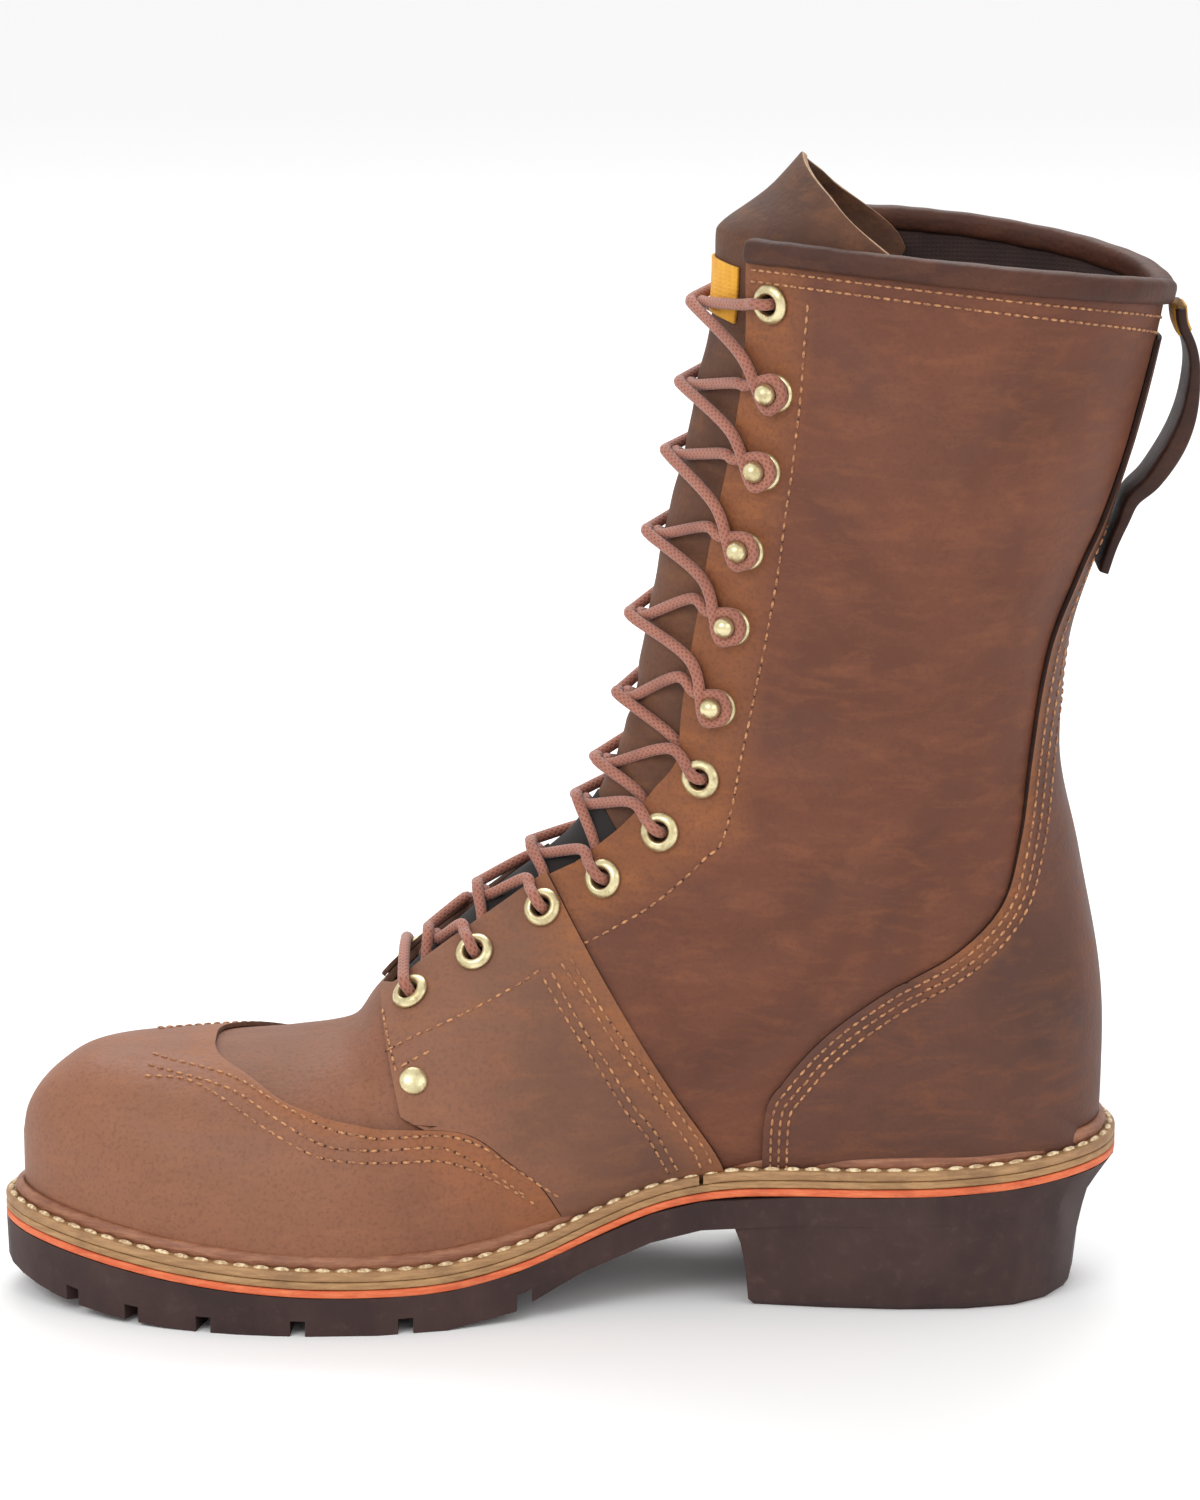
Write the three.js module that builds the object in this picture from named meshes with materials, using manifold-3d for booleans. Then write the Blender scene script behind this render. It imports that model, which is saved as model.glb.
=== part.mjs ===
// Lineman boot for the right foot: a tall laced leather boot with a welted lug sole and a logger heel.
// Millimetres. +X points to the toe, +Y to the inner side of the foot, +Z up.
// The origin lies on the ground under the middle of the heel.
import * as THREE from 'three';
import { mergeVertices } from 'three/addons/utils/BufferGeometryUtils.js';
import Module from 'manifold-3d';

const wasm = await Module();
wasm.setup();

// Driving sizes of the sole
const soleLength = 316;
const ballWidth = 116;
const heelSetback = 64;
const heelHeight = 34.4;
const forepartRubber = 11;
const slipSoleThickness = 2.2;
const midsoleThickness = 2.1;
const weltThickness = 2.4;
const weltWidth = 7;
const weltBead = 3;
const toeSpring = 9;
const lugDepth = 4.5;
const layerGap = 0.3;

// Driving sizes of the upper
const shaftHeight = 296;
const shaftDepth = 117;
const collarWidth = 102;
const toeHeight = 72;
const wall = 2.2;
const tongueThickness = 2;
const insoleThickness = 3;
const throatTopGap = 52;
const throatLowGap = 27;

// Small maths shared by every piece
const lerp = (a, b, t) => a + (b - a) * t;
const clamp = (t, low, high) => Math.min(high, Math.max(low, t));

// A smooth curve through values that stand at even steps, with no overshoot between equal values
function smoothSeries(values) {
  const last = values.length - 1;
  const slopes = values.map((value, i) => {
    if (i === 0) return values[1] - value;
    if (i === last) return value - values[last - 1];
    const before = value - values[i - 1];
    const after = values[i + 1] - value;
    if (before * after <= 0) return 0;
    return Math.sign(before) * Math.min(Math.abs(before + after) / 2, 3 * Math.abs(before), 3 * Math.abs(after));
  });
  return (position) => {
    const i = clamp(Math.floor(position), 0, last - 1);
    const t = position - i;
    const t2 = t * t;
    const t3 = t2 * t;
    return (2 * t3 - 3 * t2 + 1) * values[i] + (t3 - 2 * t2 + t) * slopes[i]
      + (3 * t2 - 2 * t3) * values[i + 1] + (t3 - t2) * slopes[i + 1];
  };
}

// The same kind of curve through a table, read by one column against another
function tableCurve(rows, key, column) {
  const keys = rows.map((row) => row[key]);
  const series = smoothSeries(rows.map((row) => row[column]));
  const last = keys.length - 1;
  return (at) => {
    if (at <= keys[0]) return rows[0][column];
    if (at >= keys[last]) return rows[last][column];
    let i = 0;
    while (at > keys[i + 1]) i += 1;
    return series(i + (at - keys[i]) / (keys[i + 1] - keys[i]));
  };
}

// Plan of the sole: place along the sole from the heel's back, and how far each edge lies from the axis,
// as shares of the sole's length and the ball's width
const solePlan = [
  { at: 0.0, inner: 0.0, outer: 0.0 },
  { at: 0.012, inner: 0.138, outer: 0.138 },
  { at: 0.045, inner: 0.244, outer: 0.244 },
  { at: 0.09, inner: 0.307, outer: 0.309 },
  { at: 0.15, inner: 0.334, outer: 0.338 },
  { at: 0.22, inner: 0.335, outer: 0.345 },
  { at: 0.29, inner: 0.312, outer: 0.342 },
  { at: 0.36, inner: 0.284, outer: 0.338 },
  { at: 0.42, inner: 0.284, outer: 0.354 },
  { at: 0.48, inner: 0.325, outer: 0.395 },
  { at: 0.54, inner: 0.392, outer: 0.452 },
  { at: 0.6, inner: 0.448, outer: 0.496 },
  { at: 0.66, inner: 0.483, outer: 0.514 },
  { at: 0.72, inner: 0.49, outer: 0.508 },
  { at: 0.785, inner: 0.474, outer: 0.474 },
  { at: 0.85, inner: 0.432, outer: 0.404 },
  { at: 0.905, inner: 0.369, outer: 0.308 },
  { at: 0.95, inner: 0.29, outer: 0.196 },
  { at: 0.983, inner: 0.199, outer: 0.08 },
  { at: 1.0, inner: 0.085, outer: -0.085 },
];
const planLast = solePlan.length - 1;
const planPoint = (row, side) => new THREE.Vector3(
  row.at * soleLength - heelSetback,
  side * (side > 0 ? row.inner : row.outer) * ballWidth,
  0,
);
const planCurve = new THREE.CatmullRomCurve3([
  ...solePlan.map((row) => planPoint(row, 1)),
  ...solePlan.slice(1, planLast).reverse().map((row) => planPoint(row, -1)),
], true, 'centripetal');

// A point of the sole's edge at a place in the plan table, moved inwards by an inset
function soleEdge(place, side, inset) {
  const steps = 2 * planLast;
  const u = ((side > 0 ? place : steps - place) / steps) % 1;
  const point = planCurve.getPoint(u);
  const along = planCurve.getTangent(u);
  return new THREE.Vector2(point.x + along.y * inset, point.y - along.x * inset);
}

// The place in the plan table where the inset edge has a given x
function placeAt(x, side, inset) {
  let low = 0;
  let high = planLast;
  for (let step = 0; step < 26; step += 1) {
    const middle = (low + high) / 2;
    if (soleEdge(middle, side, inset).x < x) low = middle;
    else high = middle;
  }
  return (low + high) / 2;
}
const edgeY = (x, side, inset) => soleEdge(placeAt(x, side, inset), side, inset).y;

// Side profile of the sole along its length: how much of the heel's height the layers keep, and how far the
// layers and the tread lift off the ground towards the toe, as shares of the toe spring
const soleProfile = [
  { at: 0.0, heelShare: 1.165, spring: 0.0, tread: 0.0 },
  { at: 0.05, heelShare: 1.13, spring: 0.0, tread: 0.0 },
  { at: 0.1, heelShare: 1.07, spring: 0.0, tread: 0.0 },
  { at: 0.16, heelShare: 1.02, spring: 0.0, tread: 0.0 },
  { at: 0.22, heelShare: 1.0, spring: 0.0, tread: 0.0 },
  { at: 0.29, heelShare: 0.98, spring: 0.0, tread: 0.0 },
  { at: 0.34, heelShare: 0.94, spring: 0.0, tread: 0.0 },
  { at: 0.38, heelShare: 0.86, spring: 0.0, tread: 0.0 },
  { at: 0.42, heelShare: 0.72, spring: 0.0, tread: 0.0 },
  { at: 0.465, heelShare: 0.5, spring: 0.0, tread: 0.0 },
  { at: 0.51, heelShare: 0.27, spring: 0.0, tread: 0.0 },
  { at: 0.555, heelShare: 0.11, spring: 0.0, tread: 0.0 },
  { at: 0.6, heelShare: 0.02, spring: 0.0, tread: 0.0 },
  { at: 0.65, heelShare: 0.0, spring: 0.0, tread: 0.0 },
  { at: 0.72, heelShare: 0.0, spring: 0.02, tread: 0.0 },
  { at: 0.78, heelShare: 0.0, spring: 0.13, tread: 0.0 },
  { at: 0.84, heelShare: 0.0, spring: 0.33, tread: 0.03 },
  { at: 0.9, heelShare: 0.0, spring: 0.6, tread: 0.19 },
  { at: 0.95, heelShare: 0.0, spring: 0.85, tread: 0.48 },
  { at: 1.0, heelShare: 0.0, spring: 1.1, tread: 1.0 },
];
const heelShareAt = tableCurve(soleProfile, 'at', 'heelShare');
const springAt = tableCurve(soleProfile, 'at', 'spring');
const treadAt = tableCurve(soleProfile, 'at', 'tread');
const stationOf = (x) => (x + heelSetback) / soleLength;
const heelRise = heelHeight - forepartRubber;
const rubberTop = (x) => forepartRubber + heelRise * heelShareAt(stationOf(x)) + toeSpring * springAt(stationOf(x));
const slipBottom = (x) => rubberTop(x) + layerGap;
const slipTop = (x) => slipBottom(x) + slipSoleThickness;
const midsoleBottom = (x) => slipTop(x) + layerGap;
const midsoleTop = (x) => midsoleBottom(x) + midsoleThickness;
const weltBottom = (x) => midsoleTop(x) + layerGap;
const weltTop = (x) => weltBottom(x) + weltThickness;

// Turning triangles into solids and solids into geometries
function solidFrom(positions, indices) {
  const geometry = new THREE.BufferGeometry();
  geometry.setAttribute('position', new THREE.Float32BufferAttribute(positions, 3));
  geometry.setIndex(indices);
  return solidOf(geometry);
}

function solidOf(source) {
  const geometry = source.index ? source.clone() : mergeVertices(source);
  geometry.deleteAttribute('normal');
  geometry.deleteAttribute('uv');
  const merged = mergeVertices(geometry, 1e-4);
  const index = merged.index.array;
  const triangles = [];
  for (let i = 0; i < index.length; i += 3) {
    const [a, b, c] = [index[i], index[i + 1], index[i + 2]];
    if (a !== b && b !== c && c !== a) triangles.push(a, b, c);
  }
  const solidWith = (triVerts) => new wasm.Manifold(new wasm.Mesh({
    numProp: 3,
    vertProperties: new Float32Array(merged.attributes.position.array),
    triVerts: new Uint32Array(triVerts),
  }));
  const solid = solidWith(triangles);
  return solid.volume() < 0 ? solidWith(triangles.reverse()) : solid;
}

function geometryOf(solid) {
  const mesh = solid.getMesh();
  const geometry = new THREE.BufferGeometry();
  geometry.setAttribute('position', new THREE.Float32BufferAttribute(mesh.vertProperties, 3));
  geometry.setIndex(new THREE.Uint32BufferAttribute(mesh.triVerts, 1));
  geometry.computeVertexNormals();
  return geometry;
}

// Edges shorter than the detail are left out of a piece, and so are crumbs that a cut leaves beside it
const detail = 0.08;
const boot = new THREE.Group();
function addPiece(name, solid, finish) {
  const [main] = solid.simplify(detail).decompose().sort((a, b) => b.volume() - a.volume());
  const mesh = new THREE.Mesh(geometryOf(main), new THREE.MeshStandardMaterial(finish));
  mesh.name = name;
  boot.add(mesh);
}

// A skin of quads over a list of rings, each ring a closed loop with the same number of points,
// closed over the first and the last ring
function loft(rings) {
  const size = rings[0].length;
  const points = rings.flat();
  const indices = [];
  for (let i = 0; i < rings.length - 1; i += 1) {
    const here = i * size;
    const next = here + size;
    for (let j = 0; j < size; j += 1) {
      const k = (j + 1) % size;
      indices.push(here + j, next + j, next + k, here + j, next + k, here + k);
    }
  }
  closeEnd(points, 0, size, indices, false);
  closeEnd(points, (rings.length - 1) * size, size, indices, true);
  return solidFrom(points.flatMap((p) => [p.x, p.y, p.z]), indices);
}

// An end ring is laid flat and cut into triangles there, or fanned from its middle where points line up
function closeEnd(points, start, size, indices, ahead) {
  const ring = points.slice(start, start + size);
  const middle = ring.reduce((sum, p) => sum.add(p), new THREE.Vector3()).divideScalar(size);
  const normal = new THREE.Vector3();
  ring.forEach((p, i) => normal.add(p.clone().sub(middle).cross(ring[(i + 1) % size].clone().sub(middle))));
  normal.normalize();
  const helper = Math.abs(normal.z) < 0.9 ? new THREE.Vector3(0, 0, 1) : new THREE.Vector3(1, 0, 0);
  const right = helper.cross(normal).normalize();
  const up = normal.clone().cross(right);
  const flat = ring.map((p) => new THREE.Vector2(p.dot(right), p.dot(up)));
  let faces = THREE.ShapeUtils.triangulateShape(flat, []).map((face) => face.map((k) => start + k));
  if (faces.length < size - 2) {
    points.push(middle);
    faces = ring.map((_, k) => [points.length - 1, start + k, start + (k + 1) % size]);
  }
  faces.forEach(([a, b, c]) => indices.push(...(ahead ? [a, c, b] : [a, b, c])));
}

// Where the layers of the sole are cut into facets, all alike so that they lie flat on each other:
// closer round the heel and the toe, and one place is where the two lengths of the welt meet
const weltJoint = 7.25;
const solePlaces = [
  0, 0.5, 1, 1.5, 2, 3, 4, 5, 6, weltJoint, 8, 9, 10, 11, 12, 13, 13.5, 14, 14.5, 15, 15.5, 16, 16.5, 17, 17.5,
  18, 18.5, planLast,
];

// A slab of the sole between two heights
function soleSlab({ low, high, lowInset, highInset, lowAhead = () => 0 }) {
  const rings = [];
  for (const place of solePlaces) {
    const corner = (side, inset, height, ahead = () => 0) => {
      const edge = soleEdge(place, side, inset);
      const x = edge.x + ahead(edge.x);
      return new THREE.Vector3(x, edge.y, height(x));
    };
    rings.push([
      corner(1, lowInset, low, lowAhead), corner(1, highInset, high),
      corner(-1, highInset, high), corner(-1, lowInset, low, lowAhead),
    ]);
  }
  return loft(rings);
}

// The form of the upper. Each section lies in a plane across the boot, along a line of the side view that
// runs from the sole or the back up to the ridge or the front. Toe sections stand upright: place along the
// feather line, ridge height as a share of the toe height, bulge past the feather and lean of the ridge as
// shares of the ball width, height of the widest point as a share of the line, squareness of the crown.
const toeSections = [
  { at: 1.0, rise: 0.63, bulge: 0.0, lean: 0.0, belly: 0.42, crown: 2.2 },
  { at: 0.996, rise: 0.72, bulge: 0.002, lean: 0.0, belly: 0.42, crown: 2.2 },
  { at: 0.985, rise: 0.8, bulge: 0.004, lean: 0.0, belly: 0.42, crown: 2.25 },
  { at: 0.967, rise: 0.87, bulge: 0.006, lean: 0.0, belly: 0.42, crown: 2.3 },
  { at: 0.942, rise: 0.93, bulge: 0.008, lean: 0.0, belly: 0.41, crown: 2.3 },
  { at: 0.908, rise: 0.952, bulge: 0.01, lean: 0.0, belly: 0.4, crown: 2.3 },
  { at: 0.867, rise: 0.955, bulge: 0.012, lean: 0.0, belly: 0.38, crown: 2.25 },
  { at: 0.812, rise: 0.962, bulge: 0.014, lean: 0.005, belly: 0.36, crown: 2.15 },
  { at: 0.753, rise: 0.982, bulge: 0.016, lean: 0.01, belly: 0.34, crown: 2.05 },
  { at: 0.7, rise: 1.022, bulge: 0.018, lean: 0.01, belly: 0.33, crown: 2.0 },
];
// Instep sections fan out round the bend of the ankle: the foot of each moves back along the feather line to
// the heel while its head climbs the instep, placed by shares of the sole length and the shaft height. Their
// half widths at the widest are shares of the ball width.
const instepSections = [
  { at: 0.64, head: 0.664, rise: 0.284, inner: 0.424, outer: 0.464, lean: 0.005, belly: 0.32, crown: 1.95 },
  { at: 0.56, head: 0.622, rise: 0.333, inner: 0.368, outer: 0.426, lean: 0.0, belly: 0.31, crown: 1.87 },
  { at: 0.48, head: 0.579, rise: 0.376, inner: 0.32, outer: 0.378, lean: -0.005, belly: 0.3, crown: 1.85 },
  { at: 0.394, head: 0.535, rise: 0.413, inner: 0.294, outer: 0.338, lean: -0.01, belly: 0.28, crown: 2.0 },
  { at: 0.308, head: 0.502, rise: 0.445, inner: 0.296, outer: 0.32, lean: -0.01, belly: 0.27, crown: 2.1 },
  { at: 0.222, head: 0.479, rise: 0.478, inner: 0.305, outer: 0.318, lean: -0.005, belly: 0.27, crown: 2.2 },
  { at: 0.136, head: 0.465, rise: 0.509, inner: 0.311, outer: 0.317, lean: 0.0, belly: 0.28, crown: 2.2 },
  { at: 0.063, head: 0.456, rise: 0.536, inner: 0.313, outer: 0.316, lean: 0.0, belly: 0.3, crown: 2.2 },
  { at: 0.016, head: 0.449, rise: 0.56, inner: 0.314, outer: 0.315, lean: 0.0, belly: 0.32, crown: 2.15 },
];
// Shaft sections go all the way round: back and front of the shaft as shares of its depth and height,
// half widths as shares of the collar width. The first one stands on the back end of the feather line, and
// the last two lie above the collar, where only the tongue reaches.
const shaftSections = [
  { back: 0.0, foot: 0.0, front: 1.139, rise: 0.582, inner: 0.358, outer: 0.358, belly: 0.34, crown: 2.1 },
  { back: -0.01, foot: 0.23, front: 1.126, rise: 0.615, inner: 0.364, outer: 0.364, belly: 0.37, crown: 2.05 },
  { back: 0.002, foot: 0.314, front: 1.104, rise: 0.67, inner: 0.37, outer: 0.37, belly: 0.4, crown: 1.95 },
  { back: 0.056, foot: 0.426, front: 1.075, rise: 0.727, inner: 0.378, outer: 0.378, belly: 0.42, crown: 1.85 },
  { back: 0.108, foot: 0.534, front: 1.045, rise: 0.78, inner: 0.396, outer: 0.396, belly: 0.44, crown: 1.77 },
  { back: 0.085, foot: 0.642, front: 1.016, rise: 0.83, inner: 0.422, outer: 0.422, belly: 0.46, crown: 1.72 },
  { back: 0.005, foot: 0.743, front: 0.992, rise: 0.88, inner: 0.452, outer: 0.452, belly: 0.47, crown: 1.7 },
  { back: -0.072, foot: 0.845, front: 0.97, rise: 0.94, inner: 0.48, outer: 0.48, belly: 0.48, crown: 1.72 },
  { back: -0.135, foot: 0.964, front: 0.962, rise: 1.02, inner: 0.5, outer: 0.5, belly: 0.49, crown: 1.75 },
  { back: -0.15, foot: 1.03, front: 0.82, rise: 1.075, inner: 0.505, outer: 0.505, belly: 0.49, crown: 1.75 },
  { back: -0.165, foot: 1.09, front: 0.7, rise: 1.13, inner: 0.51, outer: 0.51, belly: 0.49, crown: 1.75 },
];
const featherInset = weltWidth;
const featherBack = soleEdge(0, 1, featherInset).x;
const featherFront = soleEdge(planLast, 1, featherInset).x;
const featherHeight = (x) => midsoleTop(x) + layerGap;
const tipSide = soleEdge(planLast, 1, featherInset).y;

// Every section in the same terms: both ends of its line, and the two sides at its foot and its belly
function soleSection(row, headX, headZ) {
  const x = lerp(featherBack, featherFront, row.at);
  const edges = [1, -1].map((side) => (row.at >= 1 ? tipSide : edgeY(x, side, featherInset)));
  return {
    footX: x, footZ: featherHeight(x), headX, headZ, innerFoot: edges[0], outerFoot: edges[1],
    innerBelly: row.inner ? row.inner * ballWidth : edges[0] + row.bulge * ballWidth,
    outerBelly: row.outer ? -row.outer * ballWidth : edges[1] - row.bulge * ballWidth,
    ridge: (edges[0] + edges[1]) / 2 + row.lean * ballWidth, belly: row.belly, crown: row.crown,
  };
}
function shaftSection(row, index) {
  const standsOnSole = index === 0;
  const footX = featherBack + row.back * shaftDepth;
  return {
    footX, footZ: standsOnSole ? featherHeight(featherBack) : row.foot * shaftHeight,
    headX: featherBack + row.front * shaftDepth, headZ: row.rise * shaftHeight,
    innerFoot: 0, outerFoot: 0, innerBelly: row.inner * collarWidth, outerBelly: -row.outer * collarWidth,
    ridge: 0, belly: row.belly, crown: row.crown,
  };
}
const sections = [
  ...toeSections.map((row) => soleSection(row, lerp(featherBack, featherFront, row.at), row.rise * toeHeight)),
  ...instepSections.map((row) => soleSection(row, row.head * soleLength - heelSetback, row.rise * shaftHeight)),
  ...shaftSections.map(shaftSection),
];
const heelSection = toeSections.length + instepSections.length;
const collarSection = sections.length - 3;
const sectionSeries = Object.fromEntries(Object.keys(sections[0])
  .map((key) => [key, smoothSeries(sections.map((section) => section[key]))]));

// A point of the form: place counts the sections from the toe, turn goes from -1 at the outer foot of a
// section over its head at 0 to 1 at its inner foot
const crownShare = 0.56;
function formPoint(place, turn) {
  const read = (key) => sectionSeries[key](place);
  const side = turn < 0 ? 'outer' : 'inner';
  const away = Math.abs(turn);
  const belly = read('belly');
  let height;
  let y;
  if (away <= crownShare) {
    const angle = (away / crownShare) * Math.PI / 2;
    const power = 2 / read('crown');
    height = belly + (1 - belly) * Math.cos(angle) ** power;
    y = lerp(read('ridge'), read(`${side}Belly`), Math.sin(angle) ** power);
  } else {
    const angle = ((away - crownShare) / (1 - crownShare)) * Math.PI / 2;
    height = belly * (1 - Math.sin(angle));
    y = lerp(read(`${side}Foot`), read(`${side}Belly`), Math.cos(angle));
  }
  if (place >= heelSection && away > 0.9999) y = 0;
  return new THREE.Vector3(
    lerp(read('footX'), read('headX'), height), y, lerp(read('footZ'), read('headZ'), height),
  );
}

// The outward direction there, kept in the middle plane at the toe's tip and down the back
function formNormal(place, turn) {
  const step = 0.02;
  const slope = (p, t) => {
    const alongPlace = formPoint(p + step, t).sub(formPoint(p - step, t));
    const alongTurn = formPoint(p, Math.min(1, t + step)).sub(formPoint(p, Math.max(-1, t - step)));
    return alongTurn.cross(alongPlace).normalize();
  };
  const p = clamp(place, 3 * step, sections.length - 1 - step);
  const normal = slope(p, turn);
  const onTip = place < step;
  const onBack = place >= heelSection - 1e-9 && Math.abs(turn) > 0.9999;
  if (onTip || onBack) {
    normal.add(slope(p, -turn));
    normal.y = 0;
    normal.normalize();
  }
  return normal;
}
const formOffset = (place, turn, offset) => formPoint(place, turn)
  .addScaledVector(formNormal(place, turn), offset);

// How the form is cut into facets: steps round the crown and round the lower part of each side
const crownSteps = 5;
const lowerSteps = 4;
const turnSteps = [
  ...Array.from({ length: crownSteps }, (_, i) => crownShare * i / crownSteps),
  ...Array.from({ length: lowerSteps + 1 }, (_, i) => crownShare + (1 - crownShare) * i / lowerSteps),
];
const turns = [...turnSteps.slice(1).reverse().map((t) => -t), ...turnSteps];

// The collar's edge arches up at the sides of the shaft
const collarArch = 0.19;
const collarPlace = (turn) => collarSection
  + collarArch * Math.max(0, 1 - ((Math.abs(turn) - 0.6) / 0.4) ** 2);

// A shell between two offsets of the form, over a run of sections; it is open underneath, and at its ends
function formShell(fromPlace, toPlace, innerOffset, outerOffset) {
  const places = [fromPlace];
  for (let p = Math.floor(fromPlace) + 1; p < toPlace; p += 1) places.push(p);
  places.push(toPlace);
  const positions = [];
  const indices = [];
  const width = turns.length;
  const at = (layer, i, j) => (layer * places.length + i) * width + j;
  [outerOffset, innerOffset].forEach((offset) => places.forEach((row) => turns.forEach((turn) => {
    const place = row === collarSection ? collarPlace(turn) : row;
    const point = formOffset(place, turn, offset);
    if (Math.abs(turn) === 1 && place < heelSection) point.z = Math.max(point.z, formPoint(place, turn).z);
    positions.push(point.x, point.y, point.z);
  })));
  const quad = (a, b, c, d) => indices.push(a, b, c, a, c, d);
  for (let i = 0; i < places.length - 1; i += 1) {
    for (let j = 0; j < width - 1; j += 1) {
      quad(at(0, i, j), at(0, i, j + 1), at(0, i + 1, j + 1), at(0, i + 1, j));
      quad(at(1, i, j), at(1, i + 1, j), at(1, i + 1, j + 1), at(1, i, j + 1));
    }
    if (places[i] < heelSection) {
      quad(at(0, i, 0), at(0, i + 1, 0), at(1, i + 1, 0), at(1, i, 0));
      quad(at(0, i, width - 1), at(1, i, width - 1), at(1, i + 1, width - 1), at(0, i + 1, width - 1));
    }
  }
  const end = places.length - 1;
  for (let j = 0; j < width - 1; j += 1) {
    quad(at(0, end, j), at(0, end, j + 1), at(1, end, j + 1), at(1, end, j));
    if (fromPlace > 0) quad(at(0, 0, j), at(1, 0, j), at(1, 0, j + 1), at(0, 0, j + 1));
  }
  return solidFrom(positions, indices);
}

// Finishes
const leather = { color: 0x7a4a33, roughness: 0.62, metalness: 0 };
const edgeLeather = { color: 0x4a2a1e, roughness: 0.6, metalness: 0 };
const weltFinish = { color: 0x8a5a38, roughness: 0.55, metalness: 0 };
const midsoleFinish = { color: 0x9a7a50, roughness: 0.65, metalness: 0 };
const slipFinish = { color: 0xd2643a, roughness: 0.6, metalness: 0 };
const rubber = { color: 0x4a362e, roughness: 0.75, metalness: 0 };
const liningFinish = { color: 0x3a2824, roughness: 0.8, metalness: 0 };
const laceFinish = { color: 0x8a5440, roughness: 0.7, metalness: 0 };
const brass = { color: 0xcfc49a, roughness: 0.35, metalness: 0.9 };

// Outsole and heel in one moulded rubber unit
const heelBreast = 44;
const breastRake = 3;
const breastFillet = 7;
const heelTaper = 3.5;
const heelBackTaper = 12;
const heelBottomChamfer = 1.6;
const treadEdge = 0.4;
const waistRubber = 8.5;
const lugsBack = 106;
const grooveWidth = 4.2;
const edgeLugReach = 24;
const centreLugPitch = 17;

const treadHeight = (x) => {
  const spring = toeSpring * treadAt(stationOf(x));
  const arch = heelRise * heelShareAt(stationOf(x)) + forepartRubber - waistRubber;
  return Math.max(spring, heelShareAt(stationOf(x)) > 0 ? arch * clamp((lugsBack + 22 - x) / 40, 0, 1) : 0);
};

// How far the back of the heel runs in under its top edge, as a share that fades out ahead of the back
const backShareAt = (x) => clamp(-x / heelSetback, 0, 1) ** 2;
const backUnderSlab = 0.7;

function heelBlock() {
  const levels = [
    { up: 0.0, taper: 1.0, back: 1.0, grow: -heelBottomChamfer, fillet: 0 },
    { up: 0.06, taper: 0.94, back: 1.0, grow: 0, fillet: 0 },
    { up: 0.35, taper: 0.6, back: 0.97, grow: 0, fillet: 0 },
    { up: 0.58, taper: 0.22, back: 0.87, grow: 0, fillet: 0.1 },
    { up: 0.78, taper: 0.02, back: 0.66, grow: 0, fillet: 0.35 },
    { up: 0.9, taper: 0, back: 0.49, grow: 0, fillet: 1 },
  ];
  const places = 7;
  const rings = levels.map(({ up, taper, back, grow, fillet }) => {
    const ring = [];
    const breast = heelBreast - breastRake * (1 - up) + breastFillet * fillet + grow;
    const inset = taper * heelTaper - grow + treadEdge;
    const point = (place, side) => {
      const edge = soleEdge(place, side, inset);
      const x = Math.min(breast, edge.x + back * (heelBackTaper - heelTaper) * backShareAt(edge.x));
      return new THREE.Vector3(x, edge.y, up * rubberTop(x));
    };
    const placeOfBreast = (side) => placeAt(breast, side, inset);
    for (let i = places; i >= 0; i -= 1) ring.push(point(placeOfBreast(-1) * i / places, -1));
    for (let i = 1; i <= places; i += 1) ring.push(point(placeOfBreast(1) * i / places, 1));
    return ring;
  });
  return loft(rings);
}

function box(width, depth, height, x, y, z, turn = 0) {
  const geometry = new THREE.BoxGeometry(width, depth, height);
  geometry.rotateZ(turn);
  geometry.translate(x, y, z);
  return solidOf(geometry);
}

function outsole() {
  const slab = soleSlab({
    low: treadHeight, high: rubberTop, lowInset: treadEdge, highInset: 0,
    lowAhead: (x) => backUnderSlab * (heelBackTaper - heelTaper) * backShareAt(x),
  });
  const belowLugs = soleSlab({
    low: (x) => treadHeight(x) - 4 * lugDepth, high: (x) => treadHeight(x) + lugDepth,
    lowInset: -2 * grooveWidth, highInset: -2 * grooveWidth,
  });
  const tall = 4 * heelHeight;
  const grooves = [];
  edgeGrooves.forEach(({ at, turn }) => [1, -1].forEach((side) => {
    const x = at * soleLength - heelSetback;
    const reach = edgeY(x, side, 0);
    grooves.push(box(grooveWidth, 2 * edgeLugReach, tall, x, reach, 0, side * turn));
  }));
  for (let x = lugsBack + centreLugPitch; x < soleLength - heelSetback - edgeLugReach; x += centreLugPitch) {
    grooves.push(box(grooveWidth, edgeY(x, 1, 0) - edgeY(x, -1, 0) - 2 * edgeLugReach + 2 * grooveWidth, tall,
      x, (edgeY(x, 1, 0) + edgeY(x, -1, 0)) / 2, 0));
  }
  const cut = wasm.Manifold.union(grooves).intersect(belowLugs);
  return slab.subtract(cut).add(heelBlock());
}
const edgeGrooves = [
  { at: 0.532, turn: 0.0 },
  { at: 0.636, turn: 0.0 },
  { at: 0.731, turn: -0.05 },
  { at: 0.815, turn: -0.25 },
  { at: 0.88, turn: -0.5 },
  { at: 0.935, turn: -0.9 },
];

addPiece('outsole', outsole(), rubber);
addPiece('slip_sole', soleSlab({
  low: slipBottom, high: slipTop, lowInset: 0.3, highInset: 0.3,
}), slipFinish);
addPiece('midsole', soleSlab({
  low: midsoleBottom, high: midsoleTop, lowInset: 0, highInset: 0,
}), midsoleFinish);

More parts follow.
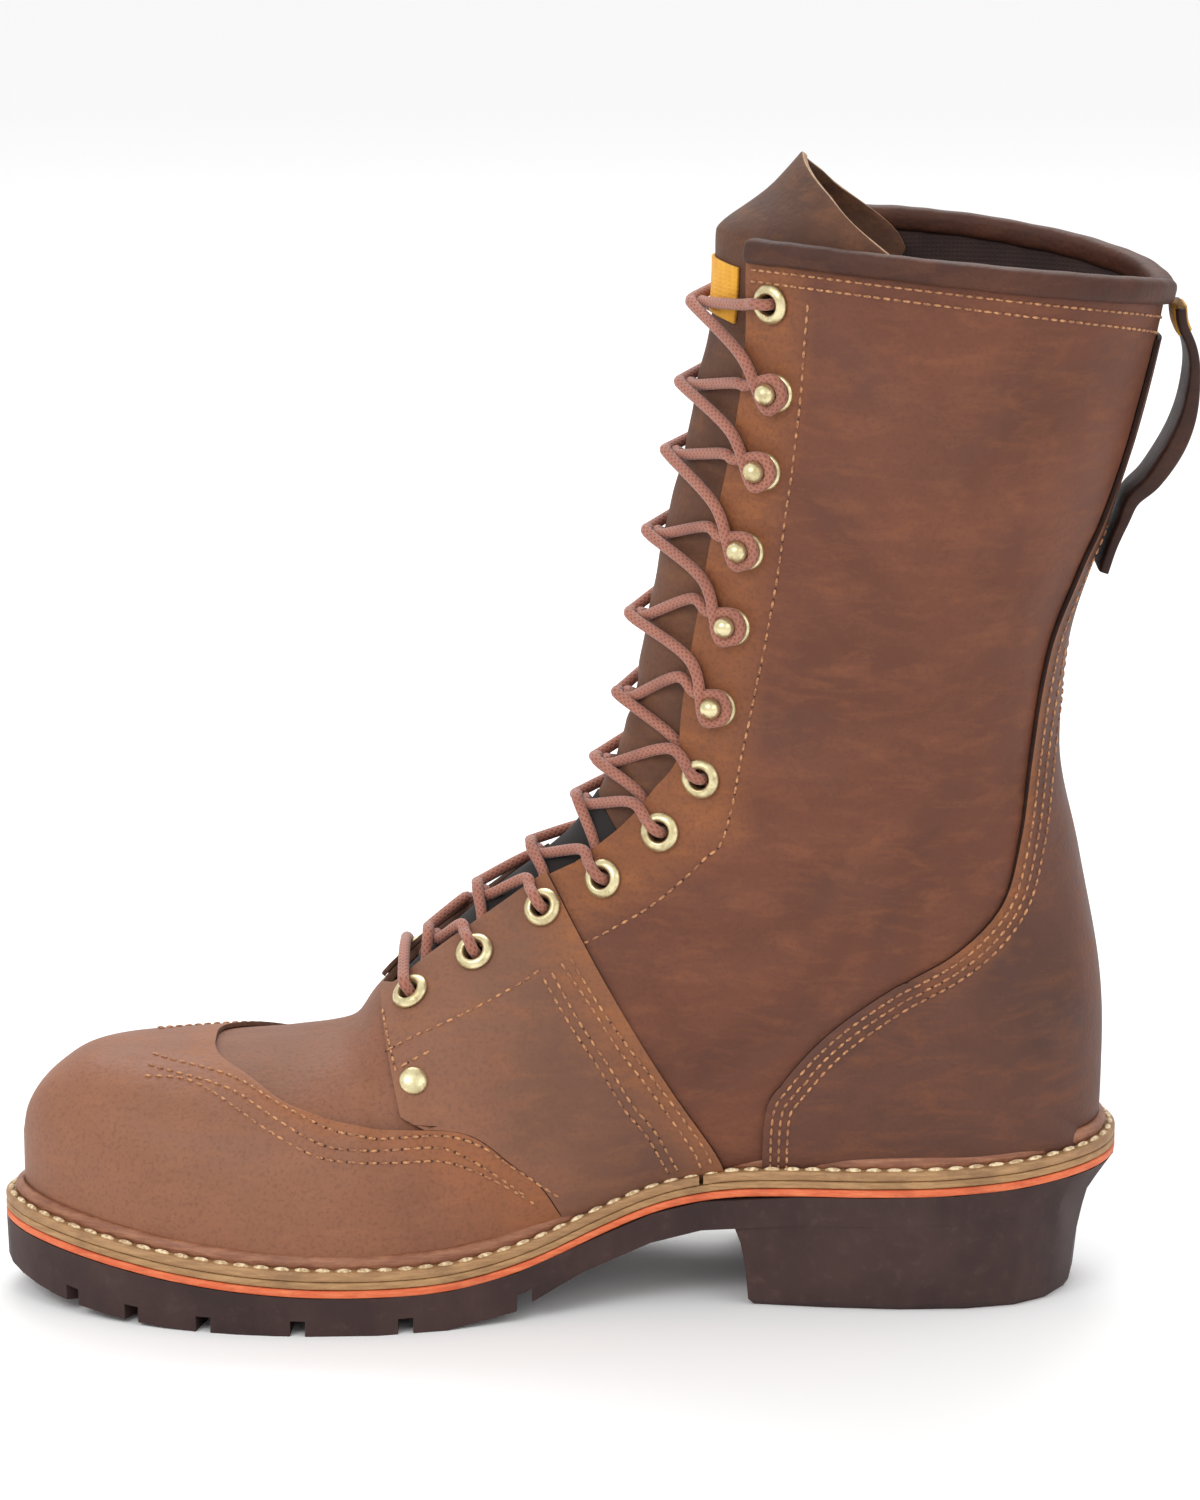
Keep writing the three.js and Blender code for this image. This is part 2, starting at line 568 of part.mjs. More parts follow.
// The welt is a strip with a raised bead against the upper, in two lengths that butt at the waist
const weltSection = [
  { across: 0.0, up: 0.0, bead: 0.0 },
  { across: 0.0, up: 1.0, bead: 0.0 },
  { across: 0.62, up: 1.0, bead: 0.0 },
  { across: 0.7, up: 1.0, bead: 0.85 },
  { across: 0.92, up: 1.0, bead: 0.95 },
  { across: 0.94, up: 0.0, bead: 0.0 },
];
function weltStrip(stops) {
  const rings = stops.map(({ place, side }) => weltSection.map(({ across, up, bead }) => {
    const edge = soleEdge(place, side, across * weltWidth);
    return new THREE.Vector3(edge.x, edge.y, weltBottom(edge.x) + up * weltThickness + bead * weltBead);
  }));
  return loft(rings);
}
const jointGap = 0.03;
const weltPlaces = (from, to) => [from, ...solePlaces.filter((place) => place > from && place < to), to];
const besideUpper = formShell(0, collarSection, -wall, layerGap);
function weltLength(from, to, turnsAtToe) {
  const stops = weltPlaces(from, to).map((place) => ({ place, side: 1 }));
  const mirrored = [...stops].reverse().map(({ place }) => ({ place, side: -1 }));
  const ordered = turnsAtToe ? [...stops, ...mirrored.slice(1)] : [...mirrored, ...stops.slice(1)];
  return weltStrip(ordered).subtract(besideUpper);
}
addPiece('welt_forepart', weltLength(weltJoint + jointGap, planLast, true), weltFinish);
addPiece('welt_heel', weltLength(0, weltJoint - jointGap, false), weltFinish);

// The throat is cut through the front of the shell: half gaps as shares of the gap low down and at the top
const throatStart = 10.1;
const throatGap = [
  { place: throatStart, low: 0.3, top: 0 },
  { place: 10.5, low: 0.47, top: 0 },
  { place: 12, low: 0.55, top: 0 },
  { place: 14, low: 0.55, top: 0.05 },
  { place: heelSection - 1, low: 0.3, top: 0.25 },
  { place: heelSection + 4, low: 0, top: 0.43 },
  { place: collarSection, low: 0, top: 0.5 },
  { place: collarSection + 2, low: 0, top: 0.52 },
];
const gapLow = tableCurve(throatGap, 'place', 'low');
const gapTop = tableCurve(throatGap, 'place', 'top');
const halfGap = (place) => gapLow(place) * throatLowGap + gapTop(place) * throatTopGap;

function throatCutter() {
  const rings = [];
  for (let place = throatStart; place <= collarSection + 1.01; place += 0.5) {
    const read = (key) => sectionSeries[key](place);
    const corner = (share, side) => new THREE.Vector3(
      lerp(read('footX'), read('headX'), share), read('ridge') + side * halfGap(place),
      lerp(read('footZ'), read('headZ'), share),
    );
    rings.push([corner(0.62, -1), corner(1.25, -1), corner(1.25, 1), corner(0.62, 1)]);
  }
  return loft(rings);
}


// Where a given distance across the boot from the ridge lies on a section's crown
function turnAcross(place, across) {
  const side = Math.sign(across);
  let near = 0;
  let far = crownShare;
  for (let step = 0; step < 24; step += 1) {
    const middle = (near + far) / 2;
    const reach = Math.abs(formPoint(place, side * middle).y - sectionSeries.ridge(place));
    if (reach < Math.abs(across)) near = middle;
    else far = middle;
  }
  return side * (near + far) / 2;
}
const onForm = (place, across, offset) => formOffset(place, turnAcross(place, across), offset);

// Walks round a section from the edge of the throat until it has gone a given distance over the leather
function turnBehindThroat(place, side, distance) {
  let turn = turnAcross(place, side * halfGap(place));
  let gone = 0;
  let from = formPoint(place, turn);
  while (gone < distance) {
    turn += side * 0.002;
    const to = formPoint(place, turn);
    gone += to.distanceTo(from);
    from = to;
  }
  return turn;
}

// The lacing, from the toe up: the section each pair stands on and what carries the lace there
const lacing = [
  { place: 10.7, holder: 'eyelet' },
  { place: 11.85, holder: 'eyelet' },
  { place: 13.1, holder: 'eyelet' },
  { place: 14.4, holder: 'eyelet' },
  { place: 16.3, holder: 'eyelet' },
  { place: 19.0, holder: 'eyelet' },
  { place: 20.6, holder: 'hook' },
  { place: 21.85, holder: 'hook' },
  { place: 23.05, holder: 'hook' },
  { place: 24.3, holder: 'hook' },
  { place: 25.45, holder: 'hook' },
  { place: 26.45, holder: 'eyelet' },
];
const eyeletSetback = 9.3;
const hookSetback = 12.6;
const eyeletFlange = 5.6;
const eyeletHole = 2.7;
const eyeletBarrel = 3.3;
const eyeletHeight = 1.4;
const holeClearance = 0.3;
const hardwareSides = 6;
const hookBase = 5.2;
const hookNeck = 1.7;
const hookHead = 3.5;
const hookHeight = 7.4;
const hookLean = 0.8;
const rivetRadius = 4;
const rivetHeight = 2;

// Leather that lies over the upper: its thickness, and the outlines of the pieces in the side view, as
// shares of the sole's length ahead of the heel's middle and of the shaft height
const overlay = 1.3;
const overlayOut = layerGap + overlay;
const toeCapEdge = [
  { ahead: 0.63, up: 0.4 }, { ahead: 0.618, up: 0.238 }, { ahead: 0.574, up: 0.221 },
  { ahead: 0.536, up: 0.204 }, { ahead: 0.492, up: 0.194 }, { ahead: 0.443, up: 0.19 },
  { ahead: 0.395, up: 0.186 }, { ahead: 0.369, up: 0.176 }, { ahead: 0.34, up: 0.15 },
  { ahead: 0.316, up: 0.128 }, { ahead: 0.3, up: 0.1 },
];
const quarterFrontEdge = [
  { ahead: 0.457, up: 0.36 }, { ahead: 0.454, up: 0.276 }, { ahead: 0.448, up: 0.246 }, { ahead: 0.438, up: 0.194 },
];
const quarterBackEdge = [
  { ahead: 0.15, up: 0.13 }, { ahead: 0.161, up: 0.158 }, { ahead: 0.2, up: 0.22 },
  { ahead: 0.241, up: 0.29 }, { ahead: 0.285, up: 0.37 }, { ahead: 0.302, up: 0.4 }, { ahead: 0.34, up: 0.46 },
];
const counterEdge = [
  { ahead: -0.2205, up: 0.93 }, { ahead: -0.2105, up: 0.885 }, { ahead: -0.19, up: 0.8 },
  { ahead: -0.172, up: 0.75 }, { ahead: -0.1535, up: 0.708 }, { ahead: -0.1275, up: 0.632 },
  { ahead: -0.1136, up: 0.545 }, { ahead: -0.1032, up: 0.46 }, { ahead: -0.088, up: 0.4 },
  { ahead: -0.048, up: 0.355 }, { ahead: 0.007, up: 0.32 }, { ahead: 0.062, up: 0.276 },
  { ahead: 0.101, up: 0.229 }, { ahead: 0.1168, up: 0.197 }, { ahead: 0.119, up: 0.12 },
];
const inSideView = ({ ahead, up }) => new THREE.Vector2(ahead * soleLength, up * shaftHeight);
const along = (edge) => edge.map(inSideView);
const corner = (ahead, up) => inSideView({ ahead, up });

// A block with a given outline in the side view, standing on one side of the boot or on both
function sideBlock(outline, side = 0) {
  const points = THREE.ShapeUtils.isClockWise(outline) ? [...outline].reverse() : outline;
  const reach = ballWidth;
  const depth = side === 0 ? 2 * reach : reach;
  const geometry = new THREE.ExtrudeGeometry(new THREE.Shape(points), { depth, bevelEnabled: false });
  geometry.rotateX(Math.PI / 2);
  geometry.translate(0, side < 0 ? 0 : reach, 0);
  return solidOf(geometry);
}
const moved = (points, dx, dz) => points.map((p) => new THREE.Vector2(p.x + dx, p.y + dz));

const aboveWelt = soleSlab({
  low: () => -heelHeight, high: (x) => weltTop(x) + weltBead + 2 * layerGap,
  lowInset: -2 * weltWidth, highInset: -2 * weltWidth,
});
const throat = throatCutter();
const seamGap = layerGap;

// A hole of the upper where an eyelet's barrel goes through
function holderFrame(place, side, setback) {
  const turn = turnBehindThroat(place, side, setback);
  const normal = formNormal(place, turn);
  const seat = formPoint(place, turn);
  const toThroat = formPoint(place, turn - side * 0.02).sub(seat);
  toThroat.addScaledVector(normal, -toThroat.dot(normal)).normalize();
  const across = toThroat.clone().cross(normal);
  return { seat, normal, turning: new THREE.Quaternion().setFromRotationMatrix(
    new THREE.Matrix4().makeBasis(toThroat, normal, across),
  ) };
}
function eyeletHoleAt(place, side) {
  const { seat, turning } = holderFrame(place, side, eyeletSetback);
  const geometry = new THREE.CylinderGeometry(eyeletBarrel + holeClearance, eyeletBarrel + holeClearance,
    6 * wall, hardwareSides);
  geometry.applyQuaternion(turning);
  geometry.translate(seat.x, seat.y, seat.z);
  return solidOf(geometry);
}
const bothSides = [{ name: 'inner', side: 1 }, { name: 'outer', side: -1 }];
const eyeletHoles = wasm.Manifold.union(lacing.filter(({ holder }) => holder === 'eyelet')
  .flatMap(({ place }) => bothSides.map(({ side }) => eyeletHoleAt(place, side))));

const belowFeather = soleSlab({
  low: () => -heelHeight, high: (x) => midsoleTop(x) + layerGap / 2, lowInset: -weltWidth, highInset: -weltWidth,
});
addPiece('upper', formShell(0, collarSection, -wall, 0).subtract(throat).subtract(eyeletHoles)
  .subtract(belowFeather), leather);

const toeCapOutline = [corner(0.9, 0.4), ...along(toeCapEdge), corner(0.3, -0.1), corner(0.9, -0.1)];
const toeCap = formShell(0, 14, layerGap, overlayOut).intersect(sideBlock(toeCapOutline))
  .subtract(aboveWelt);
addPiece('toe_cap', toeCap, leather);

const behindToeCap = moved(along(toeCapEdge.slice(5)), -seamGap, 1.4 * seamGap);
const quarterOutline = [
  ...along(quarterFrontEdge), ...behindToeCap.slice(1), corner(0.29, 0.02), corner(0.14, 0.02),
  ...along(quarterBackEdge),
];
const quarterShell = formShell(9, heelSection - 1, layerGap, overlayOut).subtract(throat)
  .subtract(eyeletHoles).subtract(aboveWelt);
bothSides.forEach(({ name, side }) => {
  addPiece(`quarter_${name}`, quarterShell.intersect(sideBlock(quarterOutline, side)), leather);
});

const counterOutline = [
  corner(-0.4, 0.93), ...along(counterEdge), corner(0.119, 0), corner(-0.4, 0),
];
addPiece('counter', formShell(13, collarSection, layerGap, overlayOut).intersect(sideBlock(counterOutline))
  .subtract(aboveWelt), leather);

// Rolled binding round the collar, open at the throat, with a slot that takes the upper's top edge
const bindingDrop = 5;
const bindingRise = 2.6;
const bindingSlot = 0.6;
const bindingSection = [
  { out: bindingSlot, up: -bindingDrop }, { out: 2.2, up: -bindingDrop }, { out: 2.9, up: -1.5 },
  { out: 2.0, up: bindingRise - 0.8 }, { out: -wall / 2, up: bindingRise },
  { out: -wall - 1.7, up: bindingRise - 1.6 }, { out: -wall - 1.9, up: -bindingDrop + 1 },
  { out: -wall - bindingSlot, up: -bindingDrop + 1 }, { out: -wall - bindingSlot, up: bindingSlot },
  { out: bindingSlot, up: bindingSlot },
];
function collarBinding() {
  const start = turnAcross(collarSection, halfGap(collarSection));
  const stops = turns.filter((turn) => Math.abs(turn) > start + 0.04 && Math.abs(turn) < 1);
  const ordered = [start, ...stops.filter((turn) => turn > 0), 1,
    ...stops.filter((turn) => turn < 0), -start];
  const rings = ordered.map((turn) => {
    const place = collarPlace(turn);
    const edge = formPoint(place, turn);
    const outward = formNormal(place, turn);
    const below = formPoint(place - 0.1, turn);
    const up = edge.clone().sub(below).normalize();
    return bindingSection.map((p) => edge.clone().addScaledVector(outward, p.out).addScaledVector(up, p.up));
  });
  return loft(rings);
}
addPiece('collar_binding', collarBinding(), edgeLeather);

// The tongue lies behind the throat, spreads into wings at the top and rises to a point
const tongueTop = collarSection + 1.15;
const tongueStart = throatStart - 0.35;
const tongueAcross = [-1, -0.75, -0.5, -0.25, 0, 0.25, 0.5, 0.75, 1];
const tongueSpread = [
  { place: tongueStart, turn: 0.24, behind: 1.15 }, { place: 12, turn: 0.33, behind: 1.15 },
  { place: 16, turn: 0.37, behind: 1.15 }, { place: 20, turn: 0.37, behind: 1.15 },
  { place: 25, turn: 0.38, behind: 1.15 }, { place: 26.4, turn: 0.42, behind: 2.4 },
  { place: collarSection, turn: 0.43, behind: 2.6 }, { place: tongueTop, turn: 0.45, behind: 2.6 },
];
const tongueWing = tableCurve(tongueSpread, 'place', 'turn');
const tongueBehind = tableCurve(tongueSpread, 'place', 'behind');
const tongueSteps = 16;
function tongue() {
  const place = (step, share) => {
    const top = tongueTop - 1.35 * Math.abs(share) ** 1.5;
    return lerp(tongueStart, top, step / tongueSteps);
  };
  const rings = [];
  for (let step = 0; step <= tongueSteps; step += 1) {
    const point = (share, depth) => {
      const p = place(step, share);
      return formOffset(p, share * tongueWing(p), -wall - tongueBehind(p) - depth);
    };
    rings.push([
      ...tongueAcross.map((share) => point(share, 0)),
      ...[...tongueAcross].reverse().map((share) => point(share, tongueThickness)),
    ]);
  }
  return loft(rings);
}
addPiece('tongue', tongue(), leather);

const insoleInset = featherInset + wall + 1.4;
addPiece('insole', soleSlab({
  low: (x) => featherHeight(x) + layerGap, high: (x) => featherHeight(x) + layerGap + insoleThickness,
  lowInset: insoleInset, highInset: insoleInset,
}), liningFinish);

// Pull loop of doubled leather at the back of the collar: its middle line, as shares of the shaft's depth
// behind the shaft's back and of the shaft height
const loopWidth = 22;
const loopThickness = 3;
const loopPath = [
  { behind: 0.0358, up: 0.948 }, { behind: 0.0502, up: 0.932 }, { behind: 0.0844, up: 0.91 },
  { behind: 0.104, up: 0.886 }, { behind: 0.1143, up: 0.85 }, { behind: 0.1074, up: 0.818 },
  { behind: 0.0806, up: 0.786 }, { behind: 0.0477, up: 0.768 }, { behind: 0.0419, up: 0.748 },
];
const collarBack = formPoint(collarSection, 1);
function shaftBackAt(z) {
  if (z >= collarBack.z) return collarBack.x;
  let low = heelSection;
  let high = collarSection;
  for (let step = 0; step < 26; step += 1) {
    const middle = (low + high) / 2;
    if (formPoint(middle, 1).z < z) low = middle;
    else high = middle;
  }
  return formPoint(low, 1).x;
}
function pullLoop() {
  const middle = loopPath.map(({ behind, up }) => {
    const z = up * shaftHeight;
    return new THREE.Vector2(shaftBackAt(z) - behind * shaftDepth, z);
  });
  const rings = middle.map((p, i) => {
    const before = middle[Math.max(0, i - 1)];
    const after = middle[Math.min(middle.length - 1, i + 1)];
    const run = after.clone().sub(before).normalize();
    const side = new THREE.Vector2(-run.y, run.x).multiplyScalar(loopThickness / 2);
    return [[1, 1], [1, -1], [-1, -1], [-1, 1]].map(([a, b]) => new THREE.Vector3(
      p.x + a * side.x, b * loopWidth / 2, p.y + a * side.y,
    ));
  });
  return loft(rings);
}
addPiece('pull_loop', pullLoop(), edgeLeather);

// Metal turned from profiles: eyelets with a barrel, speed hooks with a leaning head, rivets
function turned(profile, sides, closed) {
  const points = profile.map(([radius, height]) => new THREE.Vector2(radius, height));
  if (closed) points.push(points[0].clone());
  return new THREE.LatheGeometry(points, sides);
}
const eyeletGeometry = turned([
  [eyeletHole, -wall * 0.8], [eyeletBarrel, -wall * 0.8], [eyeletBarrel, 0],
  [eyeletFlange, 0], [eyeletFlange - 1, eyeletHeight], [eyeletHole, eyeletHeight],
], hardwareSides, true);
const hookGeometry = turned([
  [0, 0], [hookBase, 0], [hookBase - 0.4, 1], [hookNeck, 1.3], [hookNeck, hookHeight - 4.6],
  [hookHead, hookHeight - 3.4], [hookHead, hookHeight - 1.4], [0, hookHeight],
], hardwareSides, false);
const rivetGeometry = turned([[0, 0], [rivetRadius, 0], [rivetRadius, 0.8], [rivetRadius * 0.6, 1.7],
  [0, rivetHeight]], hardwareSides, false);

function addHardware(name, geometry, { seat, normal, turning }, lift) {
  const mesh = new THREE.Mesh(geometryOf(solidOf(geometry)), new THREE.MeshStandardMaterial(brass));
  mesh.name = name;
  mesh.quaternion.copy(turning);
  mesh.position.copy(seat).addScaledVector(normal, lift);
  boot.add(mesh);
}
function leaned(geometry) {
  const copy = geometry.clone();
  const position = copy.attributes.position;
  for (let i = 0; i < position.count; i += 1) {
    const rise = clamp((position.getY(i) - 1.3) / (hookHeight - 4.7), 0, 1);
    position.setX(i, position.getX(i) + hookLean * rise);
  }
  return copy;
}
const overlaid = (place) => place < 14;
lacing.forEach(({ place, holder }, row) => bothSides.forEach(({ name, side }) => {
  const lift = (overlaid(place) ? overlayOut : 0) + (holder === 'hook' ? 0.2 : 2) * layerGap;
  const geometry = holder === 'eyelet' ? eyeletGeometry : leaned(hookGeometry);
  const setback = holder === 'eyelet' ? eyeletSetback : hookSetback;
  addHardware(`${holder}_${name}_${row + 1}`, geometry, holderFrame(place, side, setback), lift);
}));
const rivetPlace = 10.5;
bothSides.forEach(({ name, side }) => {
  const turn = turnAcross(rivetPlace, side * 40);
  const normal = formNormal(rivetPlace, turn);
  const turning = new THREE.Quaternion().setFromUnitVectors(new THREE.Vector3(0, 1, 0), normal);
  addHardware(`rivet_${name}`, rivetGeometry, { seat: formPoint(rivetPlace, turn), normal, turning },
    overlayOut + 2 * layerGap);
});

// The lace crosses between each two pairs: both runs of a crossing are one solid, ending clear of the leather
const laceRadius = 1.6;
const laceSides = 5;
function tube(path, radius, sides) {
  const rings = path.map((p, i) => {
    const run = path[Math.min(path.length - 1, i + 1)].clone().sub(path[Math.max(0, i - 1)]).normalize();
    const first = new THREE.Vector3(0, 0, 1).cross(run).normalize();
    const second = run.clone().cross(first);
    return Array.from({ length: sides }, (_, k) => {
      const angle = 2 * Math.PI * k / sides;
      return p.clone().addScaledVector(first, radius * Math.cos(angle))
        .addScaledVector(second, radius * Math.sin(angle));
    });
  });
  return loft(rings);
}
const laceOverLeather = overlayOut + laceRadius + 1.4;
const laceOverTongue = laceRadius - wall + 0.6;
const laceClearance = 2.1;
const laceCrossReach = 6;
lacing.slice(0, -1).forEach((from, row) => {
  const to = lacing[row + 1];
  const middle = (from.place + to.place) / 2;
  const runs = [1, -1].map((side) => {
    const start = from.holder === 'eyelet'
      ? onForm(from.place + 0.16, side * (halfGap(from.place) - laceRadius - 1.4), laceOverTongue)
      : onForm(from.place + 0.16, side * (halfGap(from.place) + 0.8), laceOverLeather);
    const crown = laceRadius + laceClearance - wall - tongueBehind(middle);
    const near = onForm(middle, side * laceCrossReach, crown);
    const far = onForm(middle, -side * laceCrossReach, crown);
    near.lerp(start, 0.04);
    const end = onForm(to.place - 0.15, -side * (halfGap(to.place) + 0.8), laceOverLeather);
    far.lerp(end, 0.04);
    return tube([start, near, far, end], laceRadius, laceSides);
  });
  addPiece(`lace_crossing_${row + 1}`, runs[0].add(runs[1]), laceFinish);
});

export default boot;
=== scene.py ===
# %% [markdown]
# # A tall laced work boot
#
# This lesson dresses a right-foot lineman boot: oiled leather on a welted lug sole with a logger heel.
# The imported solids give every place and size. The script loads them first, and each piece made here
# rides on the same body and sits where its solid sits. Lengths in the tables are millimetres, because
# that is how a bootmaker reads them, and they are divided by a thousand when a mesh is made.

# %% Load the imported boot
import math

import bmesh
import bpy
import numpy as np
from mathutils import Matrix, Vector


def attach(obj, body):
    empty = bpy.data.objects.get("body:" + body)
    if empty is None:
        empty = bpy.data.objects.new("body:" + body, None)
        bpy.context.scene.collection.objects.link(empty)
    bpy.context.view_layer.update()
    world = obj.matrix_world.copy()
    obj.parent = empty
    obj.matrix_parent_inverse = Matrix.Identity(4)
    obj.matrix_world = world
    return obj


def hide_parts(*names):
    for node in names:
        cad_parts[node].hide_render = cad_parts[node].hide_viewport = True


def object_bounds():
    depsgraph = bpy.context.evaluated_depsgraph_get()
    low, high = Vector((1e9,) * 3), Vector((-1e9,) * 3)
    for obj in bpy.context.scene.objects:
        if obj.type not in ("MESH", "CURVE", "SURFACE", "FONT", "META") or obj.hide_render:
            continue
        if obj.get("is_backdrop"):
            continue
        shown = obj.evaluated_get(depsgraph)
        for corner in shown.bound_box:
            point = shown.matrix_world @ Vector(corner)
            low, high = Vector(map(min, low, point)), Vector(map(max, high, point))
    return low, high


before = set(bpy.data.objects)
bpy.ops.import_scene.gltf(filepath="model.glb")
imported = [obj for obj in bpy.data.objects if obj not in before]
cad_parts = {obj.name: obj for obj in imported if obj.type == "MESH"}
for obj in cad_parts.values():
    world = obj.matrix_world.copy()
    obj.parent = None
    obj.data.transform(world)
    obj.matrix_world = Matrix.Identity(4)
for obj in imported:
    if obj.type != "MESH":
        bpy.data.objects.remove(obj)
cad_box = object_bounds()
MM = 0.001
print("nodes:", len(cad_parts))

# %% [markdown]
# ## The camera
#
# A product photograph is taken from far away with a long lens, so that a boot doesn't look swollen at
# the near side. The camera stands a metre and a half from the boot on its inner side, a little above
# the collar, and looks slightly down.

# %% Place the camera at the photograph's angle
LENS, CAMERA_DISTANCE, CAMERA_HEIGHT = 131.83, 1.5, 0.518
AIM_AHEAD, AIM_HEIGHT = 0.082966, 0.154


def turn_to(thing, target):
    thing.rotation_euler = (Vector(target) - thing.location).to_track_quat("-Z", "Y").to_euler()


camera_data = bpy.data.cameras.new("camera")
camera_data.sensor_fit = "VERTICAL"
camera_data.sensor_height = 36
camera_data.lens = LENS
camera = bpy.data.objects.new("camera", camera_data)
bpy.context.scene.collection.objects.link(camera)
camera.location = (AIM_AHEAD, CAMERA_DISTANCE, CAMERA_HEIGHT)
turn_to(camera, (AIM_AHEAD, 0, AIM_HEIGHT))
bpy.context.scene.camera = camera
bpy.context.scene.view_settings.view_transform = "Standard"
print("camera stands", CAMERA_DISTANCE, "m away and", CAMERA_HEIGHT, "m up")

# %% [markdown]
# ## Curves through a table
#
# A last is drawn from a few sections, and everything between them is faired by eye. Here the fairing is
# a cubic through the table's values that never overshoots, so a flat stretch stays flat. The same
# curves shape the sole's plan, its side profile and the upper. Four small functions keep directions at
# length one, lay them in a surface, measure a path and read it at given distances.


# %% Smooth curves through evenly spaced values and through tables
def smooth_series(values):
    values = np.asarray(values, float)
    steps = np.diff(values)
    slopes = np.empty(len(values))
    slopes[0], slopes[-1] = steps[0], steps[-1]
    before, after = steps[:-1], steps[1:]
    limit = np.minimum(np.abs(before + after) / 2, np.minimum(3 * np.abs(before), 3 * np.abs(after)))
    slopes[1:-1] = np.where(before * after > 0, np.sign(before) * limit, 0)

    def read(position):
        position = np.asarray(position, float)
        i = np.clip(np.floor(position).astype(int), 0, len(values) - 2)
        t = position - i
        t2, t3 = t * t, t * t * t
        return (
            (2 * t3 - 3 * t2 + 1) * values[i]
            + (t3 - 2 * t2 + t) * slopes[i]
            + (3 * t2 - 2 * t3) * values[i + 1]
            + (t3 - t2) * slopes[i + 1]
        )

    return read


def table_curve(keys, values):
    keys = np.asarray(keys, float)
    series = smooth_series(values)

    def read(at):
        at = np.clip(np.asarray(at, float), keys[0], keys[-1])
        i = np.clip(np.searchsorted(keys, at, side="right") - 1, 0, len(keys) - 2)
        return series(i + (at - keys[i]) / (keys[i + 1] - keys[i]))

    return read


def unit(vectors):
    return vectors / np.maximum(np.linalg.norm(vectors, axis=-1, keepdims=True), 1e-9)


def along_surface(direction, normal):
    return unit(direction - normal * (direction * normal).sum(-1, keepdims=True))


def distance_along(points):
    return np.concatenate([[0], np.cumsum(np.linalg.norm(np.diff(points, axis=0), axis=1))])


def read_points(marks, gone, points):
    return np.stack([np.interp(marks, gone, points[:, k]) for k in range(points.shape[1])], -1)


# %% [markdown]
# ## The sole's plan and profile
#
# Each row of the plan gives a place along the sole and the share of the ball's width to either side.
# The edge is a rounded curve through these points. The profile gives the step down from the heel to the
# forepart, the lift of the layers at the toe, and the smaller lift of the tread.

# %% Read the sole from its tables
SOLE_LENGTH, BALL_WIDTH, HEEL_SETBACK = 316, 116, 64
HEEL_HEIGHT, RUBBER, SLIP, MIDSOLE, WELT = 34.4, 11, 2.2, 2.1, 2.4
WELT_WIDTH, WELT_BEAD, TOE_SPRING, GAP = 7, 3, 9, 0.3
SOLE_PLAN = [
    (0.0, 0.0, 0.0), (0.012, 0.138, 0.138), (0.045, 0.244, 0.244), (0.09, 0.307, 0.309),
    (0.15, 0.334, 0.338), (0.22, 0.335, 0.345), (0.29, 0.312, 0.342), (0.36, 0.284, 0.338),
    (0.42, 0.284, 0.354), (0.48, 0.325, 0.395), (0.54, 0.392, 0.452), (0.6, 0.448, 0.496),
    (0.66, 0.483, 0.514), (0.72, 0.49, 0.508), (0.785, 0.474, 0.474), (0.85, 0.432, 0.404),
    (0.905, 0.369, 0.308), (0.95, 0.29, 0.196), (0.983, 0.199, 0.08), (1.0, 0.085, -0.085),
]
SOLE_PROFILE = [
    (0.0, 1.165, 0, 0), (0.05, 1.13, 0, 0), (0.1, 1.07, 0, 0), (0.16, 1.02, 0, 0), (0.22, 1.0, 0, 0),
    (0.29, 0.98, 0, 0), (0.34, 0.94, 0, 0), (0.38, 0.86, 0, 0), (0.42, 0.72, 0, 0), (0.465, 0.5, 0, 0),
    (0.51, 0.27, 0, 0), (0.555, 0.11, 0, 0), (0.6, 0.02, 0, 0), (0.65, 0, 0, 0), (0.72, 0, 0.02, 0),
    (0.78, 0, 0.13, 0), (0.84, 0, 0.33, 0.03), (0.9, 0, 0.6, 0.19), (0.95, 0, 0.85, 0.48),
    (1.0, 0, 1.1, 1.0),
]
PLAN_LAST = len(SOLE_PLAN) - 1
inner_points = [(at * SOLE_LENGTH - HEEL_SETBACK, inner * BALL_WIDTH) for at, inner, _ in SOLE_PLAN]
outer_points = [(at * SOLE_LENGTH - HEEL_SETBACK, -outer * BALL_WIDTH) for at, _, outer in SOLE_PLAN]
plan_points = np.array(inner_points + outer_points[PLAN_LAST - 1:0:-1])


def plan_curve(u):
    count = len(plan_points)
    position = (np.asarray(u, float) % 1) * count
    i = np.floor(position).astype(int)
    t = (position - i)[..., None]
    p0, p1, p2, p3 = (plan_points[(i + k) % count] for k in (-1, 0, 1, 2))
    pairs = ((p0, p1), (p1, p2), (p2, p3))
    d0, d1, d2 = (np.sqrt(np.linalg.norm(b - a, axis=-1))[..., None] for a, b in pairs)
    m1 = ((p1 - p0) / d0 - (p2 - p0) / (d0 + d1) + (p2 - p1) / d1) * d1
    m2 = ((p2 - p1) / d1 - (p3 - p1) / (d1 + d2) + (p3 - p2) / d2) * d1
    return p1 + m1 * t + (3 * (p2 - p1) - 2 * m1 - m2) * t**2 + (2 * (p1 - p2) + m1 + m2) * t**3


def sole_edge(place, side, inset):
    steps = 2 * PLAN_LAST
    place, side = np.broadcast_arrays(np.asarray(place, float), side)
    u = np.where(side > 0, place, steps - place) / steps
    along = unit(plan_curve(u + 1e-4) - plan_curve(u - 1e-4))
    inward = np.stack([along[..., 1], -along[..., 0]], -1)
    return plan_curve(u) + inward * np.asarray(inset, float)[..., None]


